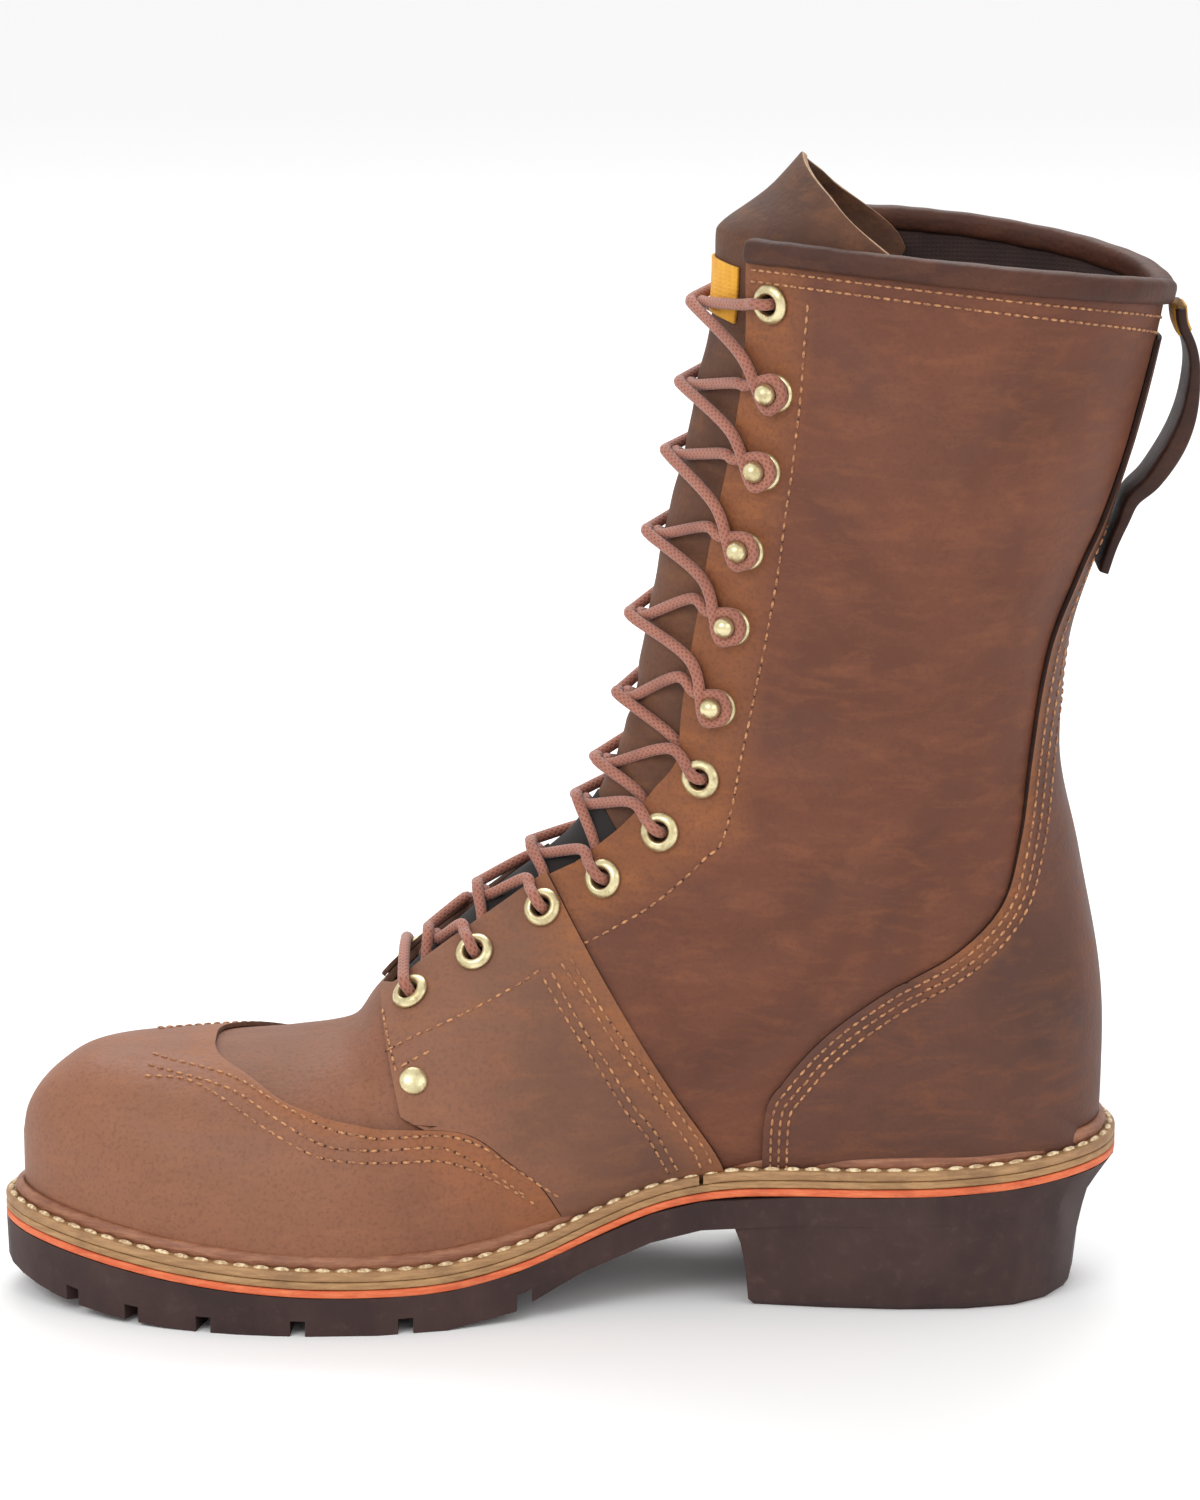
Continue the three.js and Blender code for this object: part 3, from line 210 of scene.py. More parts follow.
def edge_y(x, side, inset):
    low, high = 0.0, float(PLAN_LAST)
    for _ in range(26):
        middle = (low + high) / 2
        if sole_edge(middle, side, inset)[0] < x:
            low = middle
        else:
            high = middle
    return float(sole_edge((low + high) / 2, side, inset)[1])


profile_keys, *profile_columns = zip(*SOLE_PROFILE)
heel_share, spring_share, tread_share = (table_curve(profile_keys, column) for column in profile_columns)


def station(x):
    return (np.asarray(x, float) + HEEL_SETBACK) / SOLE_LENGTH


def rubber_top(x):
    return RUBBER + (HEEL_HEIGHT - RUBBER) * heel_share(station(x)) + TOE_SPRING * spring_share(station(x))


def midsole_top(x):
    return rubber_top(x) + SLIP + MIDSOLE + 2 * GAP


def welt_top(x):
    return midsole_top(x) + GAP + WELT


print("sole at the ball, inner and outer edge:", round(edge_y(150, 1, 0), 1), round(edge_y(150, -1, 0), 1))

# %% [markdown]
# ## The form of the upper
#
# Leather is pulled over a last, so the upper is one smooth form. Its sections stand upright at the toe,
# fan out round the bend of the ankle and lie across the leg in the shaft. A place counts the sections
# from the toe, and a turn goes from -1 at the outer foot of a section over its head at 0 to 1 at the
# inner foot. Every panel, seam, stitch and eyelet is then placed by these two numbers.

# %% Read the form from its sections
SHAFT_HEIGHT, SHAFT_DEPTH, COLLAR_WIDTH, TOE_HEIGHT, WALL = 296, 117, 102, 72, 2.2
TOE_SECTIONS = [  # at, rise, bulge, lean, belly, crown
    (1.0, 0.63, 0.0, 0.0, 0.42, 2.2), (0.996, 0.72, 0.002, 0.0, 0.42, 2.2),
    (0.985, 0.8, 0.004, 0.0, 0.42, 2.25), (0.967, 0.87, 0.006, 0.0, 0.42, 2.3),
    (0.942, 0.93, 0.008, 0.0, 0.41, 2.3), (0.908, 0.952, 0.01, 0.0, 0.4, 2.3),
    (0.867, 0.955, 0.012, 0.0, 0.38, 2.25), (0.812, 0.962, 0.014, 0.005, 0.36, 2.15),
    (0.753, 0.982, 0.016, 0.01, 0.34, 2.05), (0.7, 1.022, 0.018, 0.01, 0.33, 2.0),
]
INSTEP_SECTIONS = [  # at, head, rise, inner, outer, lean, belly, crown
    (0.64, 0.664, 0.284, 0.424, 0.464, 0.005, 0.32, 1.95),
    (0.56, 0.622, 0.333, 0.368, 0.426, 0.0, 0.31, 1.87),
    (0.48, 0.579, 0.376, 0.32, 0.378, -0.005, 0.3, 1.85),
    (0.394, 0.535, 0.413, 0.294, 0.338, -0.01, 0.28, 2.0),
    (0.308, 0.502, 0.445, 0.296, 0.32, -0.01, 0.27, 2.1),
    (0.222, 0.479, 0.478, 0.305, 0.318, -0.005, 0.27, 2.2),
    (0.136, 0.465, 0.509, 0.311, 0.317, 0.0, 0.28, 2.2),
    (0.063, 0.456, 0.536, 0.313, 0.316, 0.0, 0.3, 2.2),
    (0.016, 0.449, 0.56, 0.314, 0.315, 0.0, 0.32, 2.15),
]
SHAFT_SECTIONS = [  # back, foot, front, rise, half width, belly, crown
    (0.0, 0.0, 1.139, 0.582, 0.358, 0.34, 2.1), (-0.01, 0.23, 1.126, 0.615, 0.364, 0.37, 2.05),
    (0.002, 0.314, 1.104, 0.67, 0.37, 0.4, 1.95), (0.056, 0.426, 1.075, 0.727, 0.378, 0.42, 1.85),
    (0.108, 0.534, 1.045, 0.78, 0.396, 0.44, 1.77), (0.085, 0.642, 1.016, 0.83, 0.422, 0.46, 1.72),
    (0.005, 0.743, 0.992, 0.88, 0.452, 0.47, 1.7), (-0.072, 0.845, 0.97, 0.94, 0.48, 0.48, 1.72),
    (-0.135, 0.964, 0.962, 1.02, 0.5, 0.49, 1.75), (-0.15, 1.03, 0.82, 1.075, 0.505, 0.49, 1.75),
    (-0.165, 1.09, 0.7, 1.13, 0.51, 0.49, 1.75),
]
CROWN_SHARE = 0.56
feather_back = float(sole_edge(0.0, 1, WELT_WIDTH)[0])
feather_front = float(sole_edge(float(PLAN_LAST), 1, WELT_WIDTH)[0])
tip_side = float(sole_edge(float(PLAN_LAST), 1, WELT_WIDTH)[1])


def feather_height(x):
    return midsole_top(x) + GAP


def sole_section(at, head_x, head_z, inner, outer, bulge, lean, belly, crown):
    x = feather_back + (feather_front - feather_back) * at
    foot_in, foot_out = (tip_side if at >= 1 else edge_y(x, side, WELT_WIDTH) for side in (1, -1))
    belly_in = inner * BALL_WIDTH if inner else foot_in + bulge * BALL_WIDTH
    belly_out = -outer * BALL_WIDTH if outer else foot_out - bulge * BALL_WIDTH
    ridge = (foot_in + foot_out) / 2 + lean * BALL_WIDTH
    foot_z = float(feather_height(x))
    return (x, foot_z, head_x, head_z, foot_in, foot_out, belly_in, belly_out, ridge, belly, crown)


rows = []
for at, rise, bulge, lean, belly, crown in TOE_SECTIONS:
    head = feather_back + (feather_front - feather_back) * at
    rows.append(sole_section(at, head, rise * TOE_HEIGHT, 0, 0, bulge, lean, belly, crown))
for at, head, rise, inner, outer, lean, belly, crown in INSTEP_SECTIONS:
    head_x = head * SOLE_LENGTH - HEEL_SETBACK
    rows.append(sole_section(at, head_x, rise * SHAFT_HEIGHT, inner, outer, 0, lean, belly, crown))
HEEL_SECTION = len(rows)
for k, (back, foot, front, rise, half, belly, crown) in enumerate(SHAFT_SECTIONS):
    foot_z = float(feather_height(feather_back)) if k == 0 else foot * SHAFT_HEIGHT
    half_width = half * COLLAR_WIDTH
    rows.append((feather_back + back * SHAFT_DEPTH, foot_z, feather_back + front * SHAFT_DEPTH,
                 rise * SHAFT_HEIGHT, 0, 0, half_width, -half_width, 0, belly, crown))
COLLAR = len(rows) - 3
section = [smooth_series(column) for column in zip(*rows)]


def form_point(place, turn):
    place, turn = np.broadcast_arrays(np.asarray(place, float), np.asarray(turn, float))
    foot_x, foot_z, head_x, head_z, foot_in, foot_out, belly_in, belly_out, ridge, belly, crown = (
        column(place) for column in section
    )
    away = np.abs(turn)
    inner = turn >= 0
    side_belly = np.where(inner, belly_in, belly_out)
    side_foot = np.where(inner, foot_in, foot_out)
    power = 2 / crown
    top = np.clip(away / CROWN_SHARE, 0, 1) * math.pi / 2
    low = np.clip((away - CROWN_SHARE) / (1 - CROWN_SHARE), 0, 1) * math.pi / 2
    on_crown = away <= CROWN_SHARE
    cosine, sine = np.maximum(np.cos(top), 0), np.sin(top)
    height = np.where(on_crown, belly + (1 - belly) * cosine**power, belly * (1 - np.sin(low)))
    y = np.where(on_crown, ridge + (side_belly - ridge) * sine**power,
                 side_foot + (side_belly - side_foot) * np.cos(low))
    y = np.where((place >= HEEL_SECTION) & (away > 0.9999), 0, y)
    return np.stack([foot_x + (head_x - foot_x) * height, y, foot_z + (head_z - foot_z) * height], -1)


def form_normal(place, turn):
    place, turn = np.broadcast_arrays(np.asarray(place, float), np.asarray(turn, float))
    step = 0.02
    p = np.clip(place, 3 * step, len(rows) - 1 - step)

    def slope(t):
        along_place = form_point(p + step, t) - form_point(p - step, t)
        along_turn = form_point(p, np.minimum(1, t + step)) - form_point(p, np.maximum(-1, t - step))
        return unit(np.cross(along_turn, along_place))

    normal = slope(turn)
    flat = (place < step) | ((place >= HEEL_SECTION - 1e-9) & (np.abs(turn) > 0.9999))
    both = normal + slope(-turn)
    both[..., 1] = 0
    return np.where(flat[..., None], unit(both), normal)


def form_offset(place, turn, offset):
    return form_point(place, turn) + form_normal(place, turn) * np.asarray(offset, float)[..., None]


print("collar front and back:", form_point(COLLAR, 0.0).round(1), form_point(COLLAR, 1.0).round(1))

# %% [markdown]
# ## The throat
#
# The throat is the gap that the laces close. It starts in a round end above the ball and widens up the
# shaft. One function gives the turn where each section's leather stops, and another walks round the
# leather from there by a real distance, which is how a maker sets out eyelets from the edge.

# %% Find the throat's edge
THROAT_START = 10.1
GAP_LOW, GAP_TOP = 27, 52
gap_keys = [THROAT_START, 10.5, 12, 14, HEEL_SECTION - 1, HEEL_SECTION + 4, COLLAR, COLLAR + 2]
gap_low = table_curve(gap_keys, [0.3, 0.47, 0.55, 0.55, 0.3, 0, 0, 0])
gap_top = table_curve(gap_keys, [0, 0, 0, 0.05, 0.25, 0.43, 0.5, 0.52])


def half_gap(place):
    place = np.asarray(place, float)
    opening = np.sqrt(np.clip((place - THROAT_START) / 0.3, 0, 1))
    return (gap_low(place) * GAP_LOW + gap_top(place) * GAP_TOP) * opening


def turn_across(place, across):
    place, across = np.broadcast_arrays(np.asarray(place, float), np.asarray(across, float))
    side = np.where(across < 0, -1.0, 1.0)
    ridge = section[8](place)
    near, far = np.zeros(place.shape), np.full(place.shape, CROWN_SHARE)
    for _ in range(26):
        middle = (near + far) / 2
        short = np.abs(form_point(place, side * middle)[..., 1] - ridge) < np.abs(across)
        near, far = np.where(short, middle, near), np.where(short, far, middle)
    return side * (near + far) / 2


def throat_turn(place):
    return np.abs(turn_across(place, half_gap(place)))


def turn_behind_throat(place, side, distance):
    turns = side * np.linspace(float(np.abs(turn_across(place, side * half_gap(place)))), 1, 1500)
    return float(np.interp(distance, distance_along(form_point(place, turns)), turns))


def collar_place(turn):
    return COLLAR + 0.19 * np.maximum(0, 1 - ((np.abs(turn) - 0.6) / 0.4) ** 2)


print("throat half gap low and at the collar:", half_gap(12.0).round(1), half_gap(27.0).round(1))

# %% [markdown]
# ## Finding a spot from the side
#
# Seams are easiest to read in the side view, as a length ahead of the heel and a height. This helper
# turns such a reading into a place and a turn: it starts from the nearest point of a coarse grid and
# then improves it with a few steps of Newton's method.

# %% Turn side-view readings into places on the form
FORM_END = COLLAR + 0.6
coarse_place, coarse_turn = np.meshgrid(np.linspace(0, FORM_END, 140), np.linspace(0.0, 1, 60), indexing="ij")
coarse = {side: form_point(coarse_place, side * coarse_turn)[..., (0, 2)] for side in (1, -1)}


def seat(x, z, side):
    x, z = np.broadcast_arrays(np.asarray(x, float), np.asarray(z, float))
    target = np.stack([x.ravel(), z.ravel()], -1)
    grid = coarse[side].reshape(-1, 2)
    nearest = np.array([np.argmin(((grid - t) ** 2).sum(1)) for t in target])
    place, turn = coarse_place.ravel()[nearest], coarse_turn.ravel()[nearest]

    def side_view(place, turn):
        return form_point(place, side * turn)[:, (0, 2)]

    for _ in range(12):
        here = side_view(place, turn)
        by_place = (side_view(place + 0.01, turn) - here) / 0.01
        above, below = np.minimum(turn + 0.002, 1), np.maximum(turn - 0.002, 0)
        by_turn = (side_view(place, above) - side_view(place, below)) / (above - below)[:, None]
        miss = target - here
        area = by_place[:, 0] * by_turn[:, 1] - by_place[:, 1] * by_turn[:, 0]
        area = np.where(np.abs(area) < 1e-3, 1e-3, area)
        move_place = (miss[:, 0] * by_turn[:, 1] - miss[:, 1] * by_turn[:, 0]) / area
        move_turn = (by_place[:, 0] * miss[:, 1] - by_place[:, 1] * miss[:, 0]) / area
        place = np.clip(place + np.clip(move_place, -0.5, 0.5), 0, FORM_END)
        turn = np.clip(turn + np.clip(move_turn, -0.06, 0.06), 0, 1)
    return place.reshape(x.shape), turn.reshape(x.shape)


def rounded_path(points, spacing):
    points = np.asarray(points, float)
    ends = np.vstack([2 * points[0] - points[1], points, 2 * points[-1] - points[-2]])
    dense = []
    for p0, p1, p2, p3 in zip(ends, ends[1:], ends[2:], ends[3:]):
        t = np.linspace(0, 1, 24, endpoint=False)[:, None]
        dense.append(0.5 * (2 * p1 + (p2 - p0) * t + (2 * p0 - 5 * p1 + 4 * p2 - p3) * t**2
                            + (3 * p1 - p0 - 3 * p2 + p3) * t**3))
    dense = np.vstack(dense + [points[-1:]])
    gone = distance_along(dense)
    count = max(2, int(round(gone[-1] / spacing)) + 1)
    return read_points(np.linspace(0, gone[-1], count), gone, dense)


check_place, check_turn = seat([180.8, -35.9], [65.5, 161.3], 1)
print("toe cap edge and counter edge sit at", check_place.round(2), check_turn.round(2))

# %% [markdown]
# ## Shaders as sums
#
# Node trees are easier to read as arithmetic. Wire wraps a node's output and gives it the operators, so
# that wear * 0.5 + grain adds the Math nodes itself. Finish holds a material, and its node method adds
# any other node from its type, its settings and the values or wires of its sockets. Its shares method
# reads how far across and along a panel a spot lies. Colours are given as they are read on a screen, from
# 0 to 255, and mix turns them into light.


# %% A small class for shader arithmetic
class Wire:
    def __init__(self, finish, socket):
        self.finish, self.socket = finish, socket

    def join(self, operation, first, second=None, clamp=False):
        node = self.finish.tree.nodes.new("ShaderNodeMath")
        node.operation, node.use_clamp = operation, clamp
        for k, value in enumerate((first, second)):
            if value is not None:
                self.finish.feed(node.inputs[k], value)
        return Wire(self.finish, node.outputs[0])

    def __add__(self, other):
        return self.join("ADD", self, other)

    def __radd__(self, other):
        return self.join("ADD", other, self)

    def __sub__(self, other):
        return self.join("SUBTRACT", self, other)

    def __rsub__(self, other):
        return self.join("SUBTRACT", other, self)

    def __mul__(self, other):
        return self.join("MULTIPLY", self, other)

    def __rmul__(self, other):
        return self.join("MULTIPLY", other, self)

    def wave(self):
        return self.join("SINE", self)

    def within(self, low, high):
        return self.join("MULTIPLY", self.join("SUBTRACT", self, low), 1 / (high - low), clamp=True)


class Finish:
    def __init__(self, name):
        self.material = bpy.data.materials.new(name)
        self.material.use_nodes = True
        self.tree = self.material.node_tree
        self.shader = self.tree.nodes["Principled BSDF"]
        self.place = self.node("ShaderNodeTexCoord", out="Object")

    def feed(self, socket, value):
        if isinstance(value, Wire):
            self.tree.links.new(value.socket, socket)
        else:
            socket.default_value = (*value, 1) if socket.type == "RGBA" else value

    def node(self, kind, settings=(), out=0, **sockets):
        node = self.tree.nodes.new(kind)
        for key, value in dict(settings).items():
            setattr(node, key, value)
        for key, value in sockets.items():
            name = key.replace("_", " ")
            self.feed(node.inputs[int(key[1:])] if key[1:].isdigit() else node.inputs[name], value)
        return Wire(self, node.outputs[out])

    def shares(self):
        split = self.node("ShaderNodeSeparateXYZ", Vector=self.node("ShaderNodeUVMap", {"uv_map": "braid"}))
        return split, Wire(self, split.socket.node.outputs[1])

    def noise(self, scale, detail=2.0, roughness=0.5, vector=None, distortion=0.0):
        return self.node("ShaderNodeTexNoise", Vector=vector or self.place, Scale=scale, Detail=detail,
                         Roughness=roughness, Distortion=distortion)

    def stretched(self, x, y, z):
        return self.node("ShaderNodeMapping", Vector=self.place, Scale=(x, y, z))

    def mix(self, factor, first, second):
        first, second = (tint if isinstance(tint, Wire) else colour(*tint) for tint in (first, second))
        return self.node("ShaderNodeMix", {"data_type": "RGBA"}, out=2, i0=factor, i6=first, i7=second)

    def bump(self, height, distance, strength=1.0, under=None):
        extra = {"Normal": under} if under else {}
        return self.node("ShaderNodeBump", Height=height, Distance=distance, Strength=strength, **extra)

    def wear(self, **sockets):
        for key, value in sockets.items():
            self.feed(self.shader.inputs[key.replace("_", " ")], value)
        return self.material


def colour(red, green, blue):
    def linear(value):
        value /= 255
        return value / 12.92 if value <= 0.04045 else ((value + 0.055) / 1.055) ** 2.4

    return (linear(red), linear(green), linear(blue))


# %% [markdown]
# ## Oiled leather
#
# Oiled leather is dyed through and filled with wax, so it darkens in blotches, pulls up to tan where it
# is bent or rubbed, and has a soft sheen that breaks up with the grain. Wide noise gives the blotches,
# a stretched one the streaks, cells the pebble of the grain, and fine noise the pores.
# Along the stitched edge of some panels, a painted highlight lightens the leather to orange tan.

# %% The leather of the upper and its darker edges


def oiled_leather(name, base, dark, cool, pale, gloss=0.0, edge_highlight=None):
    """edge_highlight names the panel's share (0 across, 1 along) and where its painted highlight starts and is
    full.
    """
    leather = Finish(name)
    tall, taller, long = (leather.stretched(*scale) for scale in ((1, 1, 1.3), (1, 1, 3.2), (0.6, 1, 2.4)))
    blotch = leather.noise(14, 4, 0.6, distortion=0.6).within(0.36, 0.66)
    cloud = leather.noise(31, 5, 0.62, distortion=0.4).within(0.4, 0.68)
    cool_patch = leather.noise(9.5, 3, 0.55, tall, 0.8).within(0.5, 0.72)
    streaks = leather.noise(60, 6, 0.7, taller, 0.5).within(0.48, 0.74)
    scuffs = leather.noise(150, 8, 0.78, long, 0.4).within(0.6, 0.78)
    pores = leather.noise(900, 3, 0.6)
    grain = leather.node("ShaderNodeTexVoronoi", {"feature": "SMOOTH_F1"}, out="Distance", Vector=leather.place,
                         Scale=620.0, Smoothness=0.6, Randomness=1.0)
    tint = leather.mix(blotch, dark, base)
    tint = leather.mix(cool_patch * 0.55, tint, cool)
    tint = leather.mix(cloud * 0.35, tint, base)
    tint = leather.mix(streaks * 0.4, tint, pale)
    tint = leather.mix(scuffs * 0.35, tint, pale)
    ahead = leather.node("ShaderNodeSeparateXYZ", Vector=leather.place)
    tint = leather.mix(ahead.within(0.07, 0.16) * 0.28, tint, (176, 124, 92))
    if edge_highlight:
        axis, start, full = edge_highlight
        shares = leather.shares()
        edge = shares[axis].within(start, full)
        if axis == 0:
            edge = edge * shares[1].within(0.42, 0.5)
        # painted highlight: a lighter orange tan along the panel's stitched edge
        tint = leather.mix(edge * (0.45 + 0.3 * streaks), tint, (150, 92, 52))
    tint = leather.mix(pores.within(0.35, 0.5) * -0.35 + 0.35, tint, dark)
    rough = 0.6 - 0.12 * blotch + 0.1 * streaks + 0.08 * pores - gloss
    fine = leather.bump(pores * 0.45 + grain * 0.9, 0.00022, 0.55)
    soft = leather.bump(leather.noise(120, 5, 0.6) + scuffs * 0.3, 0.0006, 0.45, under=fine)
    return leather.wear(Base_Color=tint, Roughness=rough, Normal=soft, Specular_IOR_Level=0.28)


upper_leather = oiled_leather("oiled leather", (113, 66, 46), (87, 51, 38), (81, 56, 49), (142, 88, 57),
                              edge_highlight=(0, 0.17, 0.1))
cap_leather = oiled_leather("toe leather", (126, 76, 54), (99, 61, 46), (92, 65, 55), (149, 95, 65), 0.04,
                            edge_highlight=(1, 0.9, 0.98))
quarter_leather = oiled_leather("quarter leather", (120, 78, 59), (96, 65, 52), (94, 71, 65), (147, 95, 62),
                                edge_highlight=(1, 0.72, 0.95))
counter_leather = oiled_leather("counter leather", (101, 61, 46), (78, 50, 40), (81, 63, 60), (133, 81, 52),
                                edge_highlight=(0, 0.12, 0.02))
dark_leather = oiled_leather("dark edge leather", (85, 48, 34), (55, 31, 23), (58, 40, 34), (113, 70, 46))
# cut edges: dark as cut leather edges are, then deepened to near black as painted shade under each panel's edge
cut_edge_shade = oiled_leather("cut edge with painted shade", (50, 27, 19), (34, 18, 14), (37, 23, 20), (74, 42, 28))
strap_leather = oiled_leather("strap leather", (62, 35, 26), (41, 23, 18), (44, 30, 26), (92, 56, 40))
tongue_leather = oiled_leather("tongue leather", (104, 66, 45), (74, 46, 33), (76, 56, 48), (138, 93, 60),
                               -0.05)
print("leathers:", len(bpy.data.materials))

# %% [markdown]
# ## Rubber, welt, lining, cord, thread and brass
#
# The other finishes are simpler. Rubber is matt with a faint mould grain and dust in the pores. The welt
# is waxed leather with a trimmed edge, thread is twisted, the lace is a round braid, and the eyelets are
# antiqued brass that is rubbed bright on its high parts.

# %% The other finishes


def moulded_rubber():
    rubber = Finish("heel and lug rubber")
    cloud = rubber.noise(26, 5, 0.6).within(0.38, 0.68)
    dust = rubber.noise(210, 6, 0.7).within(0.56, 0.74)
    streak = rubber.noise(50, 5, 0.65, vector=rubber.stretched(1, 1, 0.25)).within(0.5, 0.75)
    tint = rubber.mix(cloud, (50, 34, 33), (68, 47, 43))
    tint = rubber.mix(streak * 0.3, tint, (88, 64, 56))
    tint = rubber.mix(dust * 0.25, tint, (104, 82, 74))
    fine = rubber.bump(rubber.noise(1400, 2, 0.5), 0.0001, 0.4)
    soft = rubber.bump(rubber.noise(70, 5, 0.6), 0.0006, 0.5, under=fine)
    return rubber.wear(Base_Color=tint, Roughness=0.66 + 0.14 * dust - 0.1 * cloud, Normal=soft,
                       Specular_IOR_Level=0.3)


def layer_edge(name, base, dark, pale, rough):
    layer = Finish(name)
    fibre = layer.noise(120, 5, 0.7, vector=layer.stretched(1, 1, 7)).within(0.4, 0.66)
    soil = layer.noise(60, 5, 0.66).within(0.52, 0.76)
    tint = layer.mix(fibre, base, pale)
    tint = layer.mix(soil * 0.55, tint, dark)
    return layer.wear(Base_Color=tint, Roughness=rough + 0.1 * soil, Normal=layer.bump(fibre, 0.00025, 0.5))


def twisted_thread(name, base, dark):
    thread = Finish(name)
    ply = thread.noise(900, 3, 0.5)
    soil = thread.noise(90, 4, 0.6).within(0.48, 0.72)
    tint = thread.mix(soil * 0.7, thread.mix(ply.within(0.4, 0.6), dark, base), dark)
    return thread.wear(Base_Color=tint, Roughness=0.72, Normal=thread.bump(ply, 0.0002, 0.5), Sheen_Weight=0.15)


def braided_cord():
    cord = Finish("braided lace")
    around, along = cord.shares()

    def ribs(phase):
        return (phase * (2 * math.pi)).wave() * 0.5 + 0.5

    left, right = ribs(along * 520 + around * 6), ribs(along * 520 - around * 6)
    weave = left.join("MAXIMUM", left, right)
    soil = cord.noise(70, 4, 0.6).within(0.45, 0.7)
    tint = cord.mix(weave, (124, 72, 56), (164, 104, 84))
    tint = cord.mix(soil * 0.4, tint, (110, 62, 50))
    return cord.wear(Base_Color=tint, Roughness=0.78 - 0.1 * weave, Sheen_Weight=0.2,
                     Normal=cord.bump(weave, 0.00025, 0.6))


def antique_brass():
    brass = Finish("antique brass")
    tarnish = brass.noise(260, 5, 0.6).within(0.42, 0.7)
    spots = brass.noise(900, 3, 0.6).within(0.58, 0.72)
    tint = brass.mix(tarnish, (226, 214, 170), (176, 158, 116))
    tint = brass.mix(spots * 0.4, tint, (120, 96, 66))
    return brass.wear(Base_Color=tint, Metallic=0.92, Roughness=0.28 + 0.16 * tarnish + 0.1 * spots,
                      Normal=brass.bump(tarnish, 0.00012, 0.4))


def woven_lining(name, base, dark):
    lining = Finish(name)
    warp, weft = (lining.node("ShaderNodeTexWave", {"bands_direction": way}, Vector=lining.place, Scale=260.0)
                  for way in "XZ")
    cloud = lining.noise(40, 4, 0.6).within(0.35, 0.65)
    tint = lining.mix(cloud, dark, base)
    return lining.wear(Base_Color=tint, Roughness=0.88, Normal=lining.bump(warp * weft, 0.0003, 0.5),
                       Sheen_Weight=0.1)


sole_rubber = moulded_rubber()
orange_layer = layer_edge("orange slip sole", (206, 92, 50), (120, 52, 36), (226, 122, 76), 0.6)
tan_layer = layer_edge("tan midsole", (150, 112, 72), (82, 58, 42), (182, 142, 96), 0.6)
welt_leather = layer_edge("waxed welt", (146, 108, 70), (84, 58, 42), (176, 136, 92), 0.55)
bead_leather = layer_edge("rolled welt bead", (128, 78, 54), (78, 46, 36), (160, 108, 78), 0.5)
tan_thread = twisted_thread("tan thread", (196, 140, 92), (132, 84, 54))
cream_thread = twisted_thread("cream thread", (236, 216, 176), (176, 146, 108))
lace_braid = braided_cord()
brass = antique_brass()
dark_lining = woven_lining("dark lining", (62, 40, 36), (38, 24, 22))
golden_weave = woven_lining("golden woven tape", (232, 170, 44), (190, 128, 30))
print("finishes:", len(bpy.data.materials))

# %% [markdown]
# ## Leather that has been walked in
#
# A worn boot is never quite smooth. The vamp folds across the ball, the ankle gathers in soft folds above
# the counter, and the shaft ripples where it bends. Each crease is a short stroke in the side view with
# a width and a depth. A stroke presses a soft trough, lifts a low ridge on each side, and fades at both
# ends. All panels share the same relief, so the quarter and the leather under it fold together.

# %% Soft creases in the leather
CREASES = [  # which side (0 is both), width, depth, then points ahead of the heel and up
    (0, 4.2, 0.9, (151, 70), (146, 62), (143, 54), (144, 46)),
    (0, 3.6, 0.7, (160, 63), (156, 55), (155, 47)),
    (0, 4.5, 0.6, (133, 60), (128, 52), (127, 44), (131, 38)),
    (0, 6.0, 0.8, (62, 127), (46, 122), (30, 124), (12, 131)),
    (0, 5.5, 0.9, (66, 108), (50, 106), (33, 110), (16, 119)),
    (0, 6.5, 0.6, (48, 146), (30, 143), (10, 147), (-10, 152)),
    (0, 7.0, 0.6, (40, 168), (22, 166), (0, 170), (-22, 174)),
    (0, 5.0, 0.5, (38, 187), (18, 189), (-6, 188)),
    (0, 7.5, 0.7, (30, 212), (8, 208), (-20, 213), (-38, 219)),
    (0, 6.0, 0.45, (24, 236), (2, 233), (-26, 237)),
    (0, 7.0, 0.5, (22, 262), (-4, 258), (-34, 263)),
    (1, 5.0, 0.6, (76, 92), (66, 83), (60, 72)),
    (1, 4.5, 0.5, (84, 76), (73, 65), (70, 52)),
    (-1, 5.0, 0.6, (80, 88), (68, 78), (62, 66)),
    (1, 5.5, 0.5, (-14, 96), (-30, 92), (-44, 97)),
    (-1, 5.5, 0.5, (-10, 92), (-28, 88), (-46, 92)),
    (1, 4.0, 0.45, (105, 74), (112, 63), (113, 51)),
    (-1, 4.0, 0.45, (108, 76), (116, 64), (118, 52)),
]


